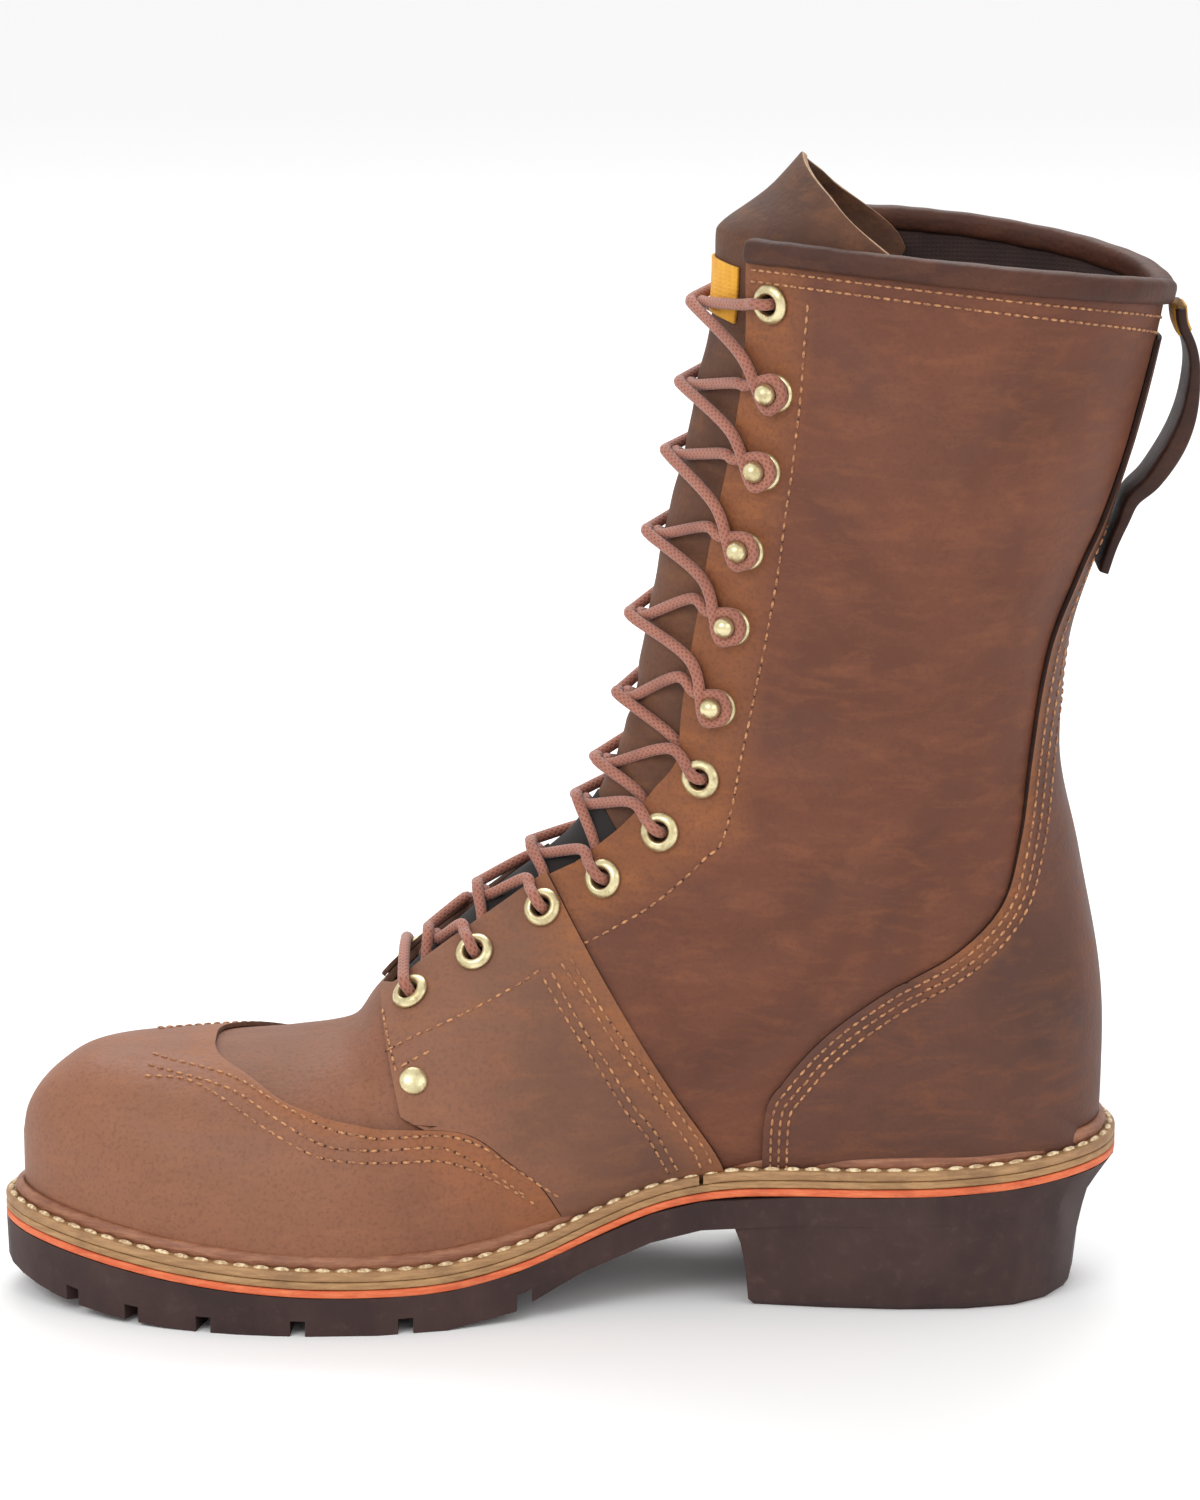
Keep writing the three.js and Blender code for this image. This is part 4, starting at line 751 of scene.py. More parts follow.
def relief(place, turn):
    spot = form_point(place, turn)
    x, y, z = spot[..., 0], spot[..., 1], spot[..., 2]
    total = 0.16 * np.sin(x / 13 + z / 21 + np.sign(y) * 1.3) * np.sin(z / 17 - x / 29)
    total = total + 0.1 * np.sin(x / 6.3 - z / 8.1 + y / 17) * np.sin(z / 6.9 + x / 11)
    for side, width, depth, *points in CREASES:
        stroke = rounded_path(points, 2.0)
        gap2 = np.full(x.shape, 1e9)
        along = np.zeros(x.shape)
        for k, (px, pz) in enumerate(stroke):
            d2 = (x - px) ** 2 + (z - pz) ** 2
            nearer = d2 < gap2
            gap2, along = np.where(nearer, d2, gap2), np.where(nearer, k / (len(stroke) - 1), along)
        fade = np.sin(math.pi * np.clip(0.08 + 0.84 * along, 0, 1)) ** 0.8
        if side:
            fade = fade * (y * side > 0)
        gap = np.sqrt(gap2)
        trough = np.exp(-((gap / width) ** 2)) - 0.42 * np.exp(-(((gap - 1.9 * width) / width) ** 2))
        total = total - 1.3 * depth * fade * trough
    calm = np.clip((place - 5.5) / 4, 0, 1) * np.clip((COLLAR - 0.5 - place) / 0.8, 0.15, 1)
    calm = calm * np.clip((1 - np.abs(turn)) / 0.12, 0, 1)
    return total * calm


def leather_point(place, turn, lift):
    return form_offset(place, turn, lift + relief(place, turn))


print("relief at the ankle:", relief(np.array([19.0, 20.0]), np.array([0.5, 0.5])).round(2))

# %% [markdown]
# ## From a grid to a panel
#
# Every panel is a grid whose corners are moved onto the form. Blender's grid operator makes the faces,
# a shape function places each corner from its share across and along, and the seam is welded. Solidify
# then gives the real thickness inwards, with a second material on the cut edge, and a small bevel
# rounds that edge as a skiving knife would.

# %% Helpers that turn a grid into a panel


def finish_piece(name, bm, materials, replaced=()):
    mesh = bpy.data.meshes.new(name)
    bm.to_mesh(mesh)
    bm.free()
    mesh.shade_smooth()
    for material in materials:
        mesh.materials.append(material)
    piece = bpy.data.objects.new(name.replace(" ", "_"), mesh)
    bpy.context.scene.collection.objects.link(piece)
    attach(piece, "root")
    if replaced:
        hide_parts(*replaced)
    return piece


def join_doubles(bm, distance):
    bmesh.ops.remove_doubles(bm, verts=bm.verts[:], dist=distance * MM)


def shaped_grid(columns, lines, shape, normals=None, weld=0.0):
    bm = bmesh.new()
    bm.loops.layers.uv.new("braid")
    bmesh.ops.create_grid(bm, x_segments=columns, y_segments=lines, size=0.5, calc_uvs=True)
    shares = np.array([vert.co[:2] for vert in bm.verts]) + 0.5
    points = shape(shares[:, 0], shares[:, 1])
    for vert, point in zip(bm.verts, points * MM):
        vert.co = point
    bm.normal_update()
    if normals is not None:
        outward = normals(shares[:, 0], shares[:, 1])
        bm.verts.index_update()
        agree = sum(face.normal.dot(Vector(outward[face.verts[0].index])) for face in list(bm.faces)[::7])
        if agree < 0:
            bmesh.ops.reverse_faces(bm, faces=bm.faces[:])
    if weld:
        join_doubles(bm, weld)
    return bm


def panel(columns, lines, where, lift):
    return shaped_grid(columns, lines, lambda u, v: leather_point(*where(u, v), lift),
                       lambda u, v: form_normal(*where(u, v)))


def thicken(piece, thickness, edge_material=0, round_edge=0.35):
    solid = piece.modifiers.new("thickness", "SOLIDIFY")
    solid.thickness, solid.offset = thickness * MM, -1
    solid.material_offset_rim = edge_material
    if round_edge:
        bevel = piece.modifiers.new("rounded edge", "BEVEL")
        bevel.width, bevel.segments, bevel.limit_method = round_edge * MM, 2, "ANGLE"
        bevel.angle_limit = math.radians(50)
    return piece


def joined(halves, distance):
    whole, other = halves
    mesh = bpy.data.meshes.new("half")
    other.to_mesh(mesh)
    other.free()
    whole.from_mesh(mesh)
    bpy.data.meshes.remove(mesh)
    join_doubles(whole, distance)
    return whole


def close_ends(bm, sides):
    bmesh.ops.holes_fill(bm, edges=[edge for edge in bm.edges if edge.is_boundary], sides=sides)
    bmesh.ops.recalc_face_normals(bm, faces=bm.faces[:])
    return bm


print("panel helpers ready")

# %% [markdown]
# ## The upper and its lining
#
# The upper is cut from one hide, folded round the last and open down the front. Each half runs from the
# edge of the throat round to the back. Below the throat the halves meet on the ridge of the vamp, so
# the welded grid is one sheet. The lining is a second, darker sheet just inside it.

# %% Make the upper and the lining
HOLDERS = [  # place and kind, from the lowest eyelet to the one at the collar
    (10.7, "eyelet"), (11.85, "eyelet"), (13.1, "eyelet"), (14.4, "eyelet"), (16.3, "eyelet"), (19.0, "eyelet"),
    (20.6, "hook"), (21.85, "hook"), (23.05, "hook"), (24.3, "hook"), (25.45, "hook"), (26.45, "eyelet"),
]
EYELET_SETBACK, HOOK_SETBACK, OVERLAY_TOP, HOLE_RADIUS = 9.3, 12.6, 1.6, 3.3
holders = []
for number, (place, kind) in enumerate(HOLDERS, 1):
    for side in (1, -1):
        turn = turn_behind_throat(place, side, HOOK_SETBACK if kind == "hook" else EYELET_SETBACK)
        lift = (OVERLAY_TOP if place < 14 else 0.0) + (0.06 if kind == "hook" else 0.6)
        holders.append((number, kind, side, place, turn, lift))
eyelet_spots = np.array([form_point(place, turn) for _, kind, _, place, turn, _ in holders if kind == "eyelet"])


def cut_eyelet_holes(bm):
    under = []
    for face in bm.faces:
        centre = np.array(face.calc_center_median()) / MM
        if centre[0] > 20 and np.min(((eyelet_spots - centre) ** 2).sum(1)) < HOLE_RADIUS**2:
            under.append(face)
    bmesh.ops.delete(bm, geom=under, context="FACES")


def upper_half(side, lift, columns, lines):
    def where(u, v):
        place = v * collar_place(side * u)
        edge = throat_turn(place)
        turn = edge + (1 - edge) * u
        return v * collar_place(turn), side * turn

    return panel(columns, lines, where, lift)


upper = joined([upper_half(side, 0.0, 76, 210) for side in (1, -1)], 0.02)
cut_eyelet_holes(upper)
upper = finish_piece("upper leather", upper, [upper_leather, cut_edge_shade], ["upper"])
thicken(upper, WALL, 1, 0.3)

lining = joined([upper_half(side, -WALL - 0.12, 40, 110) for side in (1, -1)], 0.02)
cut_eyelet_holes(lining)
bmesh.ops.reverse_faces(lining, faces=lining.faces[:])
lining = finish_piece("shaft lining", lining, [dark_lining])
print("upper faces:", len(upper.data.polygons), "lining faces:", len(lining.data.polygons))

# %% [markdown]
# ## Toe cap, quarters and counter
#
# Three panels are sewn over the upper. The toe cap covers the whole forepart up to the shaft seam, the
# quarters cover the instep between the cap and a slanting edge, and the counter wraps the heel and
# narrows into a back stay. Their edges are read in the side view and seated on the form.

# %% Lay the overlays on the upper
OVERLAY = 1.3
TOE_CAP_EDGE = [(199, 80), (195.3, 70.4), (181.4, 65.4), (169.4, 60.4), (155.5, 57.4), (140, 56.2),
                (124.8, 55.1), (116.6, 52.1), (107.4, 44.4), (99.9, 37.9), (94.8, 29.6)]
QUARTER_FRONT = [(144.4, 92), (143.5, 81.7), (141.6, 72.8), (138.4, 57.4)]
QUARTER_REAR = [(107.4, 136.2), (95.4, 118.4), (90.1, 109.5), (76.2, 85.8), (63.2, 65.1), (50.9, 46.8),
                (47.4, 38.5)]
COUNTER_EDGE = [(-69.7, 275.3), (-66.5, 262), (-60, 236.8), (-54.4, 222), (-48.5, 209.6), (-40.3, 187.1),
                (-35.9, 161.3), (-32.6, 136.2), (-27.8, 118.4), (-15.2, 105.1), (2.2, 94.7), (19.6, 81.7),
                (31.9, 67.8), (36.9, 58.3), (37.6, 35.5)]
BEAD_TURN = 0.985


def seated(outline, side, spacing=2.0):
    path = rounded_path(outline, spacing)
    return seat(path[:, 0], path[:, 1], side)


def share_of(place, turn):
    edge = throat_turn(place)
    return (np.abs(turn) - edge) / (1 - edge)


def ordered(keys, values):
    order = np.argsort(keys)
    return keys[order], values[order]


def overlay(name, bm, leather, nodes):
    return thicken(finish_piece(name, bm, [leather, cut_edge_shade], nodes), OVERLAY, 1, 0.4)


cap_edge = {side: ordered(*seated(TOE_CAP_EDGE, side)[::-1]) for side in (1, -1)}
RIDGE_ROUND = 0.06


def cap_limit(turn):
    away = np.sqrt(turn**2 + RIDGE_ROUND**2 * np.exp(-((turn / RIDGE_ROUND) ** 2)))
    inner = np.interp(away, *cap_edge[1])
    outer = np.interp(away, *cap_edge[-1])
    blend = np.clip(turn / 0.3 * 0.5 + 0.5, 0, 1)
    return outer + (inner - outer) * blend


def cap_where(u, v):
    turn = (2 * u - 1) * BEAD_TURN
    return v * cap_limit(turn), turn


toe_cap = overlay("toe cap leather", panel(190, 100, cap_where, OVERLAY_TOP), cap_leather, ["toe_cap"])

quarter_edges = {}
for side in (1, -1):
    front_place, front_turn = seated(QUARTER_FRONT[1:], side)
    low_place, low_turn = seated(TOE_CAP_EDGE[5:], side)
    keep = low_turn > front_turn.max()
    front = np.concatenate([front_place, low_place[keep]]), np.concatenate([front_turn, low_turn[keep]])
    rear = seated(QUARTER_REAR, side)
    quarter_edges[side] = (ordered(share_of(*front), front[0]), ordered(share_of(*rear), rear[0]))


def quarter_where(side, u, v):
    share = u * BEAD_TURN
    front = np.interp(share, *quarter_edges[side][0]) + 0.012
    rear = np.interp(share, *quarter_edges[side][1])
    place = front + (rear - front) * v
    edge = throat_turn(place)
    return place, side * (edge + (1 - edge) * share)


for side, word in ((1, "inner"), (-1, "outer")):
    quarter = panel(80, 90, lambda u, v: quarter_where(side, u, v), OVERLAY_TOP)
    cut_eyelet_holes(quarter)
    overlay(f"{word} quarter leather", quarter, quarter_leather, [f"quarter_{word}"])

counter_edges = {side: ordered(*seated(COUNTER_EDGE, side)) for side in (1, -1)}


def counter_where(side, u, v):
    places, turns = counter_edges[side]
    place = places[0] + 0.02 + (COLLAR - 0.42 - places[0]) * v
    low_turn = np.interp(place, places, turns)
    reach = 1 - (1 - BEAD_TURN) * np.clip(HEEL_SECTION - 1 - place, 0, 1)
    return place, side * (low_turn + (1 - low_turn) * reach * u)


halves = [panel(60, 150, lambda u, v: counter_where(side, u, v), OVERLAY_TOP) for side in (1, -1)]
counter = joined(halves, 0.05)
heel_corner = [v for v in counter.verts if v.co.x < -32 * MM and v.co.z < 66 * MM and not v.is_boundary]
for _ in range(14):
    bmesh.ops.smooth_vert(counter, verts=heel_corner, factor=0.5, use_axis_x=True, use_axis_y=True,
                          use_axis_z=True)
counter = overlay("counter and back stay", counter, counter_leather, ["counter"])
print("overlays:", len(toe_cap.data.polygons), len(counter.data.polygons), "faces")

# %% [markdown]
# ## The rolled collar
#
# The raw top of the shaft is bound with a strip that is folded over it and sewn through. It reads as a
# smooth bead that follows the dip of the collar and stops at the throat on both sides. Its section is
# carried round the collar in the plane of the leather's normal and the direction up the shaft.

# %% Bind the collar
BINDING_DROP, BINDING_RISE, BINDING_OUT, BINDING_IN = 4.6, 2.6, 2.9, 1.9
BINDING_MIDDLE = (BINDING_OUT - WALL - BINDING_IN) / 2


def rolled_section(u):
    angle = 2 * math.pi * u
    across, up = np.cos(angle), np.sin(angle)
    half = (BINDING_OUT + WALL + BINDING_IN) / 2
    across = BINDING_MIDDLE + half * np.sign(across) * np.abs(across) ** 0.75
    height = np.where(up > 0, BINDING_RISE * np.abs(up) ** 0.9, -BINDING_DROP * np.abs(up) ** 0.5)
    return across, height


def collar_frame(turn):
    place = collar_place(turn)
    normal = form_normal(place, turn)
    up = form_point(place + 0.05, turn) - form_point(place - 0.05, turn)
    return form_point(place, turn), normal, along_surface(up, normal)


def binding_half(side):
    edge = float(throat_turn(float(COLLAR)))

    def shape(u, v):
        turn = side * (edge + (1 - edge) * v)
        across, height = rolled_section(u)
        end = np.sqrt(np.clip(v / 0.012, 0.0, 1))
        across = BINDING_MIDDLE + (across - BINDING_MIDDLE) * (0.35 + 0.65 * end)
        height = height * (0.5 + 0.5 * end)
        base, normal, up = collar_frame(turn)
        ripple = 0.12 * np.sin(v * 61 + side) * np.sin(v * 23)
        return base + normal * (across + ripple)[:, None] + up * (height - 0.3 + ripple)[:, None]

    return shaped_grid(20, 130, shape, weld=0.01)


binding = close_ends(joined([binding_half(side) for side in (1, -1)], 0.05), 40)
binding = finish_piece("collar binding", binding, [dark_leather], ["collar_binding"])
print("collar binding faces:", len(binding.data.polygons))

# %% [markdown]
# ## The tongue
#
# The tongue is a long soft flap under the laces. It is cut wider than the throat, stands up above the
# collar in a round end, and shows its pale cut edge there. Low down, the bellows that joins it to the
# upper lies in deep shade, so a nearly black strip covers it between the lowest eyelets.

# %% Make the tongue, the painted shade over the bellows and the woven label
TONGUE_START, TONGUE_TOP, TONGUE_THICK = THROAT_START - 0.35, COLLAR + 1.5, 2.0
tongue_keys = [TONGUE_START, 12, 16, 20, 25, 26.4, COLLAR, TONGUE_TOP]
tongue_wing = table_curve(tongue_keys, [0.24, 0.33, 0.37, 0.37, 0.4, 0.47, 0.53, 0.57])
tongue_behind = table_curve(tongue_keys, [1.15, 1.15, 1.15, 1.15, 1.15, 2.4, 2.6, 2.6])


def tongue_end(share):
    return TONGUE_TOP - 1.7 * np.abs(share) ** 1.5


def tongue_where(u, v):
    share = 2 * u - 1
    place = TONGUE_START + (tongue_end(share) - TONGUE_START) * v
    return place, share * tongue_wing(place)


def tongue_point(u, v, lift):
    place, turn = tongue_where(u, v)
    ripple = 0.35 * np.sin(place * 2.6 + turn * 5) * np.cos(turn * 9) + 0.2 * np.sin(place * 6.1)
    free = np.clip((place - COLLAR) / 0.6, 0, 1)
    ripple = ripple * (1 - free) - free * 1.2 * np.cos(turn * 7)
    return form_offset(place, turn, -WALL - tongue_behind(place) + lift + ripple * 0.6)


tongue = shaped_grid(60, 190, lambda u, v: tongue_point(u, v, 0),
                     lambda u, v: form_normal(*tongue_where(u, v)))
tongue = finish_piece("tongue leather", tongue, [tongue_leather, welt_leather], ["tongue"])
thicken(tongue, TONGUE_THICK, 1, 0.4)


def strip_on_tongue(name, material, low, high, wing, lift, thick):
    def where(u, v):
        place = low + (high - low) * v
        return place, (2 * u - 1) * wing

    def shape(u, v):
        place, turn = where(u, v)
        share = turn / tongue_wing(place)
        return tongue_point(share / 2 + 0.5, (place - TONGUE_START) / (tongue_end(share) - TONGUE_START), lift)

    strip = shaped_grid(24, 60, shape, lambda u, v: form_normal(*where(u, v)))
    return thicken(finish_piece(name, strip, [material]), thick, 0, 0.2)


black = Finish("bellows in shade").wear(Base_Color=colour(26, 20, 20), Roughness=0.85)
# a nearly black strip: painted shade over the bellows between the lowest eyelets
strip_on_tongue("painted shade over tongue bellows", black, TONGUE_START + 0.05, 15.2, 0.2, 0.35, 0.4)
strip_on_tongue("woven tongue label", golden_weave, 26.05, 26.66, 0.16, 1.0, 0.9)
print("tongue faces:", len(tongue.data.polygons))

# %% [markdown]
# ## The pull loop
#
# A doubled strap is sewn to the back stay and bows out behind the collar, wide enough for a finger. It
# follows one middle line in the side view. A short golden tape is folded over its upper end.

# %% Bend the pull loop
LOOP_LINE = [(-76.2, 280.6), (-76.9, 275.9), (-79.6, 269.4), (-80.4, 262.3), (-79.2, 251.6), (-75.8, 242.1),
             (-69.8, 232.7), (-64.3, 227.3), (-61.8, 221.4), (-58.8, 214), (-56.6, 207)]
LOOP_WIDTH, LOOP_THICK = 22, 3


def strap(path, width, thick, end=1.0):
    line = rounded_path(path, 0.8)
    gone = np.linspace(0, 1, len(line))
    run = unit(np.gradient(line, axis=0))

    def shape(u, v):
        at = end * v
        (x, z), (rx, rz) = (read_points(at, gone, values).T for values in (line, run))
        angle = 2 * math.pi * u
        flat, deep = np.cos(angle), np.sin(angle)
        y = width / 2 * np.sign(flat) * np.abs(flat) ** 0.3
        fuller = 1 + 0.9 * np.sin(math.pi * np.clip((at - 0.12) / 0.8, 0, 1)) ** 2
        out = thick / 2 * fuller * np.sign(deep) * np.abs(deep) ** 0.35
        return np.stack([x - rz * out, y, z + rx * out], -1)

    return close_ends(shaped_grid(32, 90, shape, weld=0.01), 60)


loop = strap(LOOP_LINE, LOOP_WIDTH, LOOP_THICK)
loop = finish_piece("pull loop", loop, [strap_leather], ["pull_loop"])
tape = strap(LOOP_LINE, LOOP_WIDTH - 6, LOOP_THICK + 1.2, 0.09)
finish_piece("golden loop tape", tape, [golden_weave])
print("pull loop faces:", len(loop.data.polygons))

# %% [markdown]
# ## Layers of the sole
#
# From the ground up there is the lug rubber, a thin orange slip sole, a tan midsole and the welt that is
# stitched to them all. Each layer is a band that follows the sole's edge with its own small section, so
# the trimmed edges stay crisp and the shadow lines between layers show.

# %% Sweep the layers round the sole's edge


def round_the_edge(s):
    s = np.mod(s, 2 * PLAN_LAST)
    side = np.where(s <= PLAN_LAST, 1.0, -1.0)
    return np.where(s <= PLAN_LAST, s, 2 * PLAN_LAST - s), side


def sole_band(outline, base, first, last, lines):
    outline = np.array(outline, float)

    def shape(u, v):
        k = u * (len(outline) - 1)
        inset, up = read_points(k, range(len(outline)), outline).T
        place, side = round_the_edge(first + (last - first) * v)
        spot = sole_edge(place, side, inset)
        return np.stack([spot[..., 0], spot[..., 1], base(spot[..., 0]) + up], -1)

    bm = shaped_grid(len(outline) - 1, lines, shape, weld=0.004)
    bmesh.ops.recalc_face_normals(bm, faces=bm.faces[:])
    centre = Vector((0.06, 0, 0.03))
    agree = sum(face.normal.dot(face.calc_center_median() - centre) for face in bm.faces)
    if agree < 0:
        bmesh.ops.reverse_faces(bm, faces=bm.faces[:])
    return bm


def edge_outline(height, reach, ease=0.35):
    return [(reach, 0), (ease * 2, 0), (ease, 0.04), (0.08, ease * 0.7), (0, ease * 1.5), (0, height / 2),
            (0, height - ease * 1.5), (0.08, height - ease * 0.7), (ease, height - 0.04), (ease * 2, height),
            (reach, height)]


FULL = 2 * PLAN_LAST
slip = sole_band(edge_outline(SLIP, 16), lambda x: rubber_top(x) + GAP / 2, 0, FULL, 560)
finish_piece("orange slip sole", slip, [orange_layer], ["slip_sole"])
middle = sole_band(edge_outline(MIDSOLE, 16), lambda x: rubber_top(x) + SLIP + 1.4 * GAP, 0, FULL, 560)
finish_piece("tan midsole", middle, [tan_layer], ["midsole"])

WELT_JOINT = 7.25
weld = WELT + GAP
strip = [(6.9, 0), (0.6, 0), (0.25, 0.05), (0.05, 0.3), (0, 0.7), (0, weld - 0.8), (0.12, weld - 0.35),
         (0.5, weld - 0.05), (0.9, weld), (2.0, weld - 0.05), (3.2, weld), (3.8, weld - 0.15),
         (4.2, weld - 0.7), (4.5, weld - 0.9), (6.9, weld - 0.9)]
bead_turns = np.linspace(0, 2 * math.pi, 15)
bead = [(4.45 + 1.75 * math.cos(t), weld + 1.35 + 2.35 * math.sin(t)) for t in bead_turns]
for name, node, first, last, lines in (
    ("forepart welt", "welt_forepart", WELT_JOINT + 0.03, FULL - WELT_JOINT - 0.03, 520),
    ("heel welt", "welt_heel", -WELT_JOINT + 0.03, WELT_JOINT - 0.03, 260),
):
    band = sole_band(strip, midsole_top, first, last, lines)
    finish_piece(name, band, [welt_leather], [node])
    cord = sole_band(bead, midsole_top, first, last, lines)
    finish_piece(name + " bead", cord, [bead_leather])
print("welt joint at", sole_edge(WELT_JOINT, 1, 0).round(1))

# %% [markdown]
# ## The rubber unit
#
# The rubber is one moulding: a lugged forepart, a bare waist and a stacked-looking heel. Its solid is
# already exact, so it is copied, cleaned of needless edges and given the small radius that a mould
# leaves on every corner.

# %% Round the corners of the rubber
SHARP = math.radians(32)


def rounded_copy(name, node, materials, radius):
    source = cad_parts[node]
    bm = bmesh.new()
    bm.from_mesh(source.data)
    bmesh.ops.transform(bm, matrix=source.matrix_world, verts=bm.verts[:])
    join_doubles(bm, 0.005)
    bmesh.ops.dissolve_limit(bm, angle_limit=math.radians(2), verts=bm.verts[:], edges=bm.edges[:])
    for edge in bm.edges:
        edge.smooth = edge.calc_face_angle(0.0) < SHARP
    piece = finish_piece(name, bm, materials, [node])
    bevel = piece.modifiers.new("mould radius", "BEVEL")
    bevel.width, bevel.segments, bevel.limit_method = radius * MM, 2, "ANGLE"
    bevel.angle_limit = SHARP
    bevel.harden_normals = True
    return piece


rubber = rounded_copy("lug sole and heel", "outsole", [sole_rubber], 0.7)
rounded_copy("insole board", "insole", [dark_lining], 0.5)
print("rubber faces:", len(rubber.data.polygons))

# %% [markdown]
# ## Eyelets, hooks and rivets
#
# Brass parts are turned shapes, so each is a profile spun round its axis. An eyelet is a rolled flange
# with a barrel through the leather. A speed hook is a base washer, a leaning neck and a ball that keeps
# the lace in. One of each is made, then copied to every holder's seat.

# %% Spin the brass parts and seat them


def spun(profile, steps=28):
    bm = bmesh.new()
    verts = [bm.verts.new((radius * MM, 0, height * MM)) for radius, height in profile]
    edges = [bm.edges.new(pair) for pair in zip(verts, verts[1:])]
    bmesh.ops.spin(bm, geom=verts + edges, cent=(0, 0, 0), axis=(0, 0, 1), angle=2 * math.pi, steps=steps)
    join_doubles(bm, 0.01)
    bmesh.ops.recalc_face_normals(bm, faces=bm.faces[:])
    return bm


def template(bm):
    mesh = bpy.data.meshes.new("template")
    bm.to_mesh(mesh)
    bm.free()
    return mesh


def copies(name, mesh, matrices, materials, replaced=()):
    bm = bmesh.new()
    for matrix in matrices:
        placed = mesh.copy()
        placed.transform(matrix)
        bm.from_mesh(placed)
        bpy.data.meshes.remove(placed)
    return finish_piece(name, bm, materials, replaced)


def seat_matrix(x, y, z, spot):
    return Matrix(np.vstack([np.column_stack([x, y, z, spot * MM]), [0, 0, 0, 1]]).tolist())


def holder_matrix(side, place, turn, lift):
    normal = form_normal(place, turn)
    towards = form_point(place, turn - side * 0.01) - form_point(place, turn)
    towards = along_surface(towards, normal)
    return seat_matrix(towards, np.cross(normal, towards), normal, leather_point(place, turn, lift))


EYELET_PROFILE = [(2.75, -2.4), (2.75, 0.7), (2.95, 1.15), (3.4, 1.4), (4.0, 1.38), (4.7, 1.05), (5.3, 0.5),
                  (5.6, 0.0), (5.45, -0.5), (5.0, -0.7)]
HOOK_BASE_PROFILE = [(5.2, -0.4), (5.25, 0.1), (5.0, 0.7), (4.5, 1.0), (3.9, 0.95), (3.4, 0.6), (2.4, 0.5),
                     (1.6, 0.8), (0, 0.9)]
RIVET_PROFILE = [(4.0, -0.5), (4.05, 0.2), (3.7, 0.8), (3.0, 1.3), (1.9, 1.7), (0.8, 1.85), (0, 1.9)]
LEAN, HOOK_HEIGHT, HEAD_RADIUS = 0.8, 7.4, 2.95

hook = spun(HOOK_BASE_PROFILE)
tilt = math.atan2(LEAN, HOOK_HEIGHT - HEAD_RADIUS)
neck_middle = Vector((LEAN / 2, 0, (HOOK_HEIGHT - HEAD_RADIUS) / 2 + 0.3)) * MM
bmesh.ops.create_cone(hook, segments=18, radius1=2.0 * MM, radius2=1.5 * MM, depth=3.6 * MM,
                      matrix=Matrix.Translation(neck_middle) @ Matrix.Rotation(tilt, 4, "Y"))
bmesh.ops.create_uvsphere(hook, u_segments=22, v_segments=14, radius=HEAD_RADIUS * MM,
                          matrix=Matrix.Translation(Vector((LEAN, 0, HOOK_HEIGHT - HEAD_RADIUS)) * MM))
eyelet_mesh, hook_mesh = template(spun(EYELET_PROFILE)), template(hook)
for side, word in ((1, "inner"), (-1, "outer")):
    for kind, mesh in (("eyelet", eyelet_mesh), ("hook", hook_mesh)):
        chosen = [h for h in holders if h[1] == kind and h[2] == side]
        copies(f"{word} {kind}s", mesh, [holder_matrix(*h[2:]) for h in chosen], [brass],
               [f"{kind}_{word}_{h[0]}" for h in chosen])
RIVET_PLACE, RIVET_ACROSS = 10.5, 40
rivet_seats = [(side, RIVET_PLACE, float(turn_across(RIVET_PLACE, side * RIVET_ACROSS)), OVERLAY_TOP + 0.1)
               for side in (1, -1)]
copies("vamp rivets", template(spun(RIVET_PROFILE)), [holder_matrix(*seat) for seat in rivet_seats], [brass],
       ["rivet_inner", "rivet_outer"])
print("holders:", len(holders))

# %% [markdown]
# ## Lacing
#
# One lace does it all. It lies across the lowest pair of eyelets and goes down into both. Each end runs
# under its facing, crosses the tongue and goes down into the eyelet opposite and higher. At the hooks
# it runs in below the neck, round behind it and out above. Both ends go into the top pair of eyelets and
# stop there.

# %% Run the lace
LACE, LACE_STEP = 1.6, 0.85
CROWN = {1: 1.3, -1: -1.7}  # how high each end's run passes over the ridge of the tongue
HOOK_TURN = [(1.5, -3.9, 2.6), (-1.8, -3.0, 2.5), (-3.4, 0.0, 2.5), (-1.8, 3.0, 2.5), (1.5, 3.9, 2.6)]
EYELET_DIP = [(2.6, 0, 3.0), (0.4, 0, 1.2), (0, 0, -2.5)]
CROSSINGS = [(129.5, 99.3), (115.9, 112.1), (101.1, 125.0), (88.7, 140.2), (83.0, 152.0), (75.0, 170.6),
             (71.8, 193.6), (67.7, 217.0), (62.2, 239.2), (55.9, 258.0), (52.6, 281.0)]
ridge_places = np.linspace(THROAT_START, COLLAR, 1600)
ridge_line = form_point(ridge_places, 0.0)[:, (0, 2)]
crossing_places = [float(ridge_places[np.argmin(((ridge_line - spot) ** 2).sum(1))]) for spot in CROSSINGS]
print("crossing places:", np.round(crossing_places, 2))


def facing_top(place):
    return OVERLAY_TOP if place < 14.4 else 0.0


def across_point(place, across, lift):
    return form_offset(place, float(turn_across(place, across)), lift)


def in_holder(holder, x, y, z):
    matrix = holder_matrix(*holder[2:])
    spot = matrix @ (Vector((x, y * holder[2], z)) * MM)
    return np.array(spot) / MM


by_number = {(h[0], h[2]): h for h in holders}


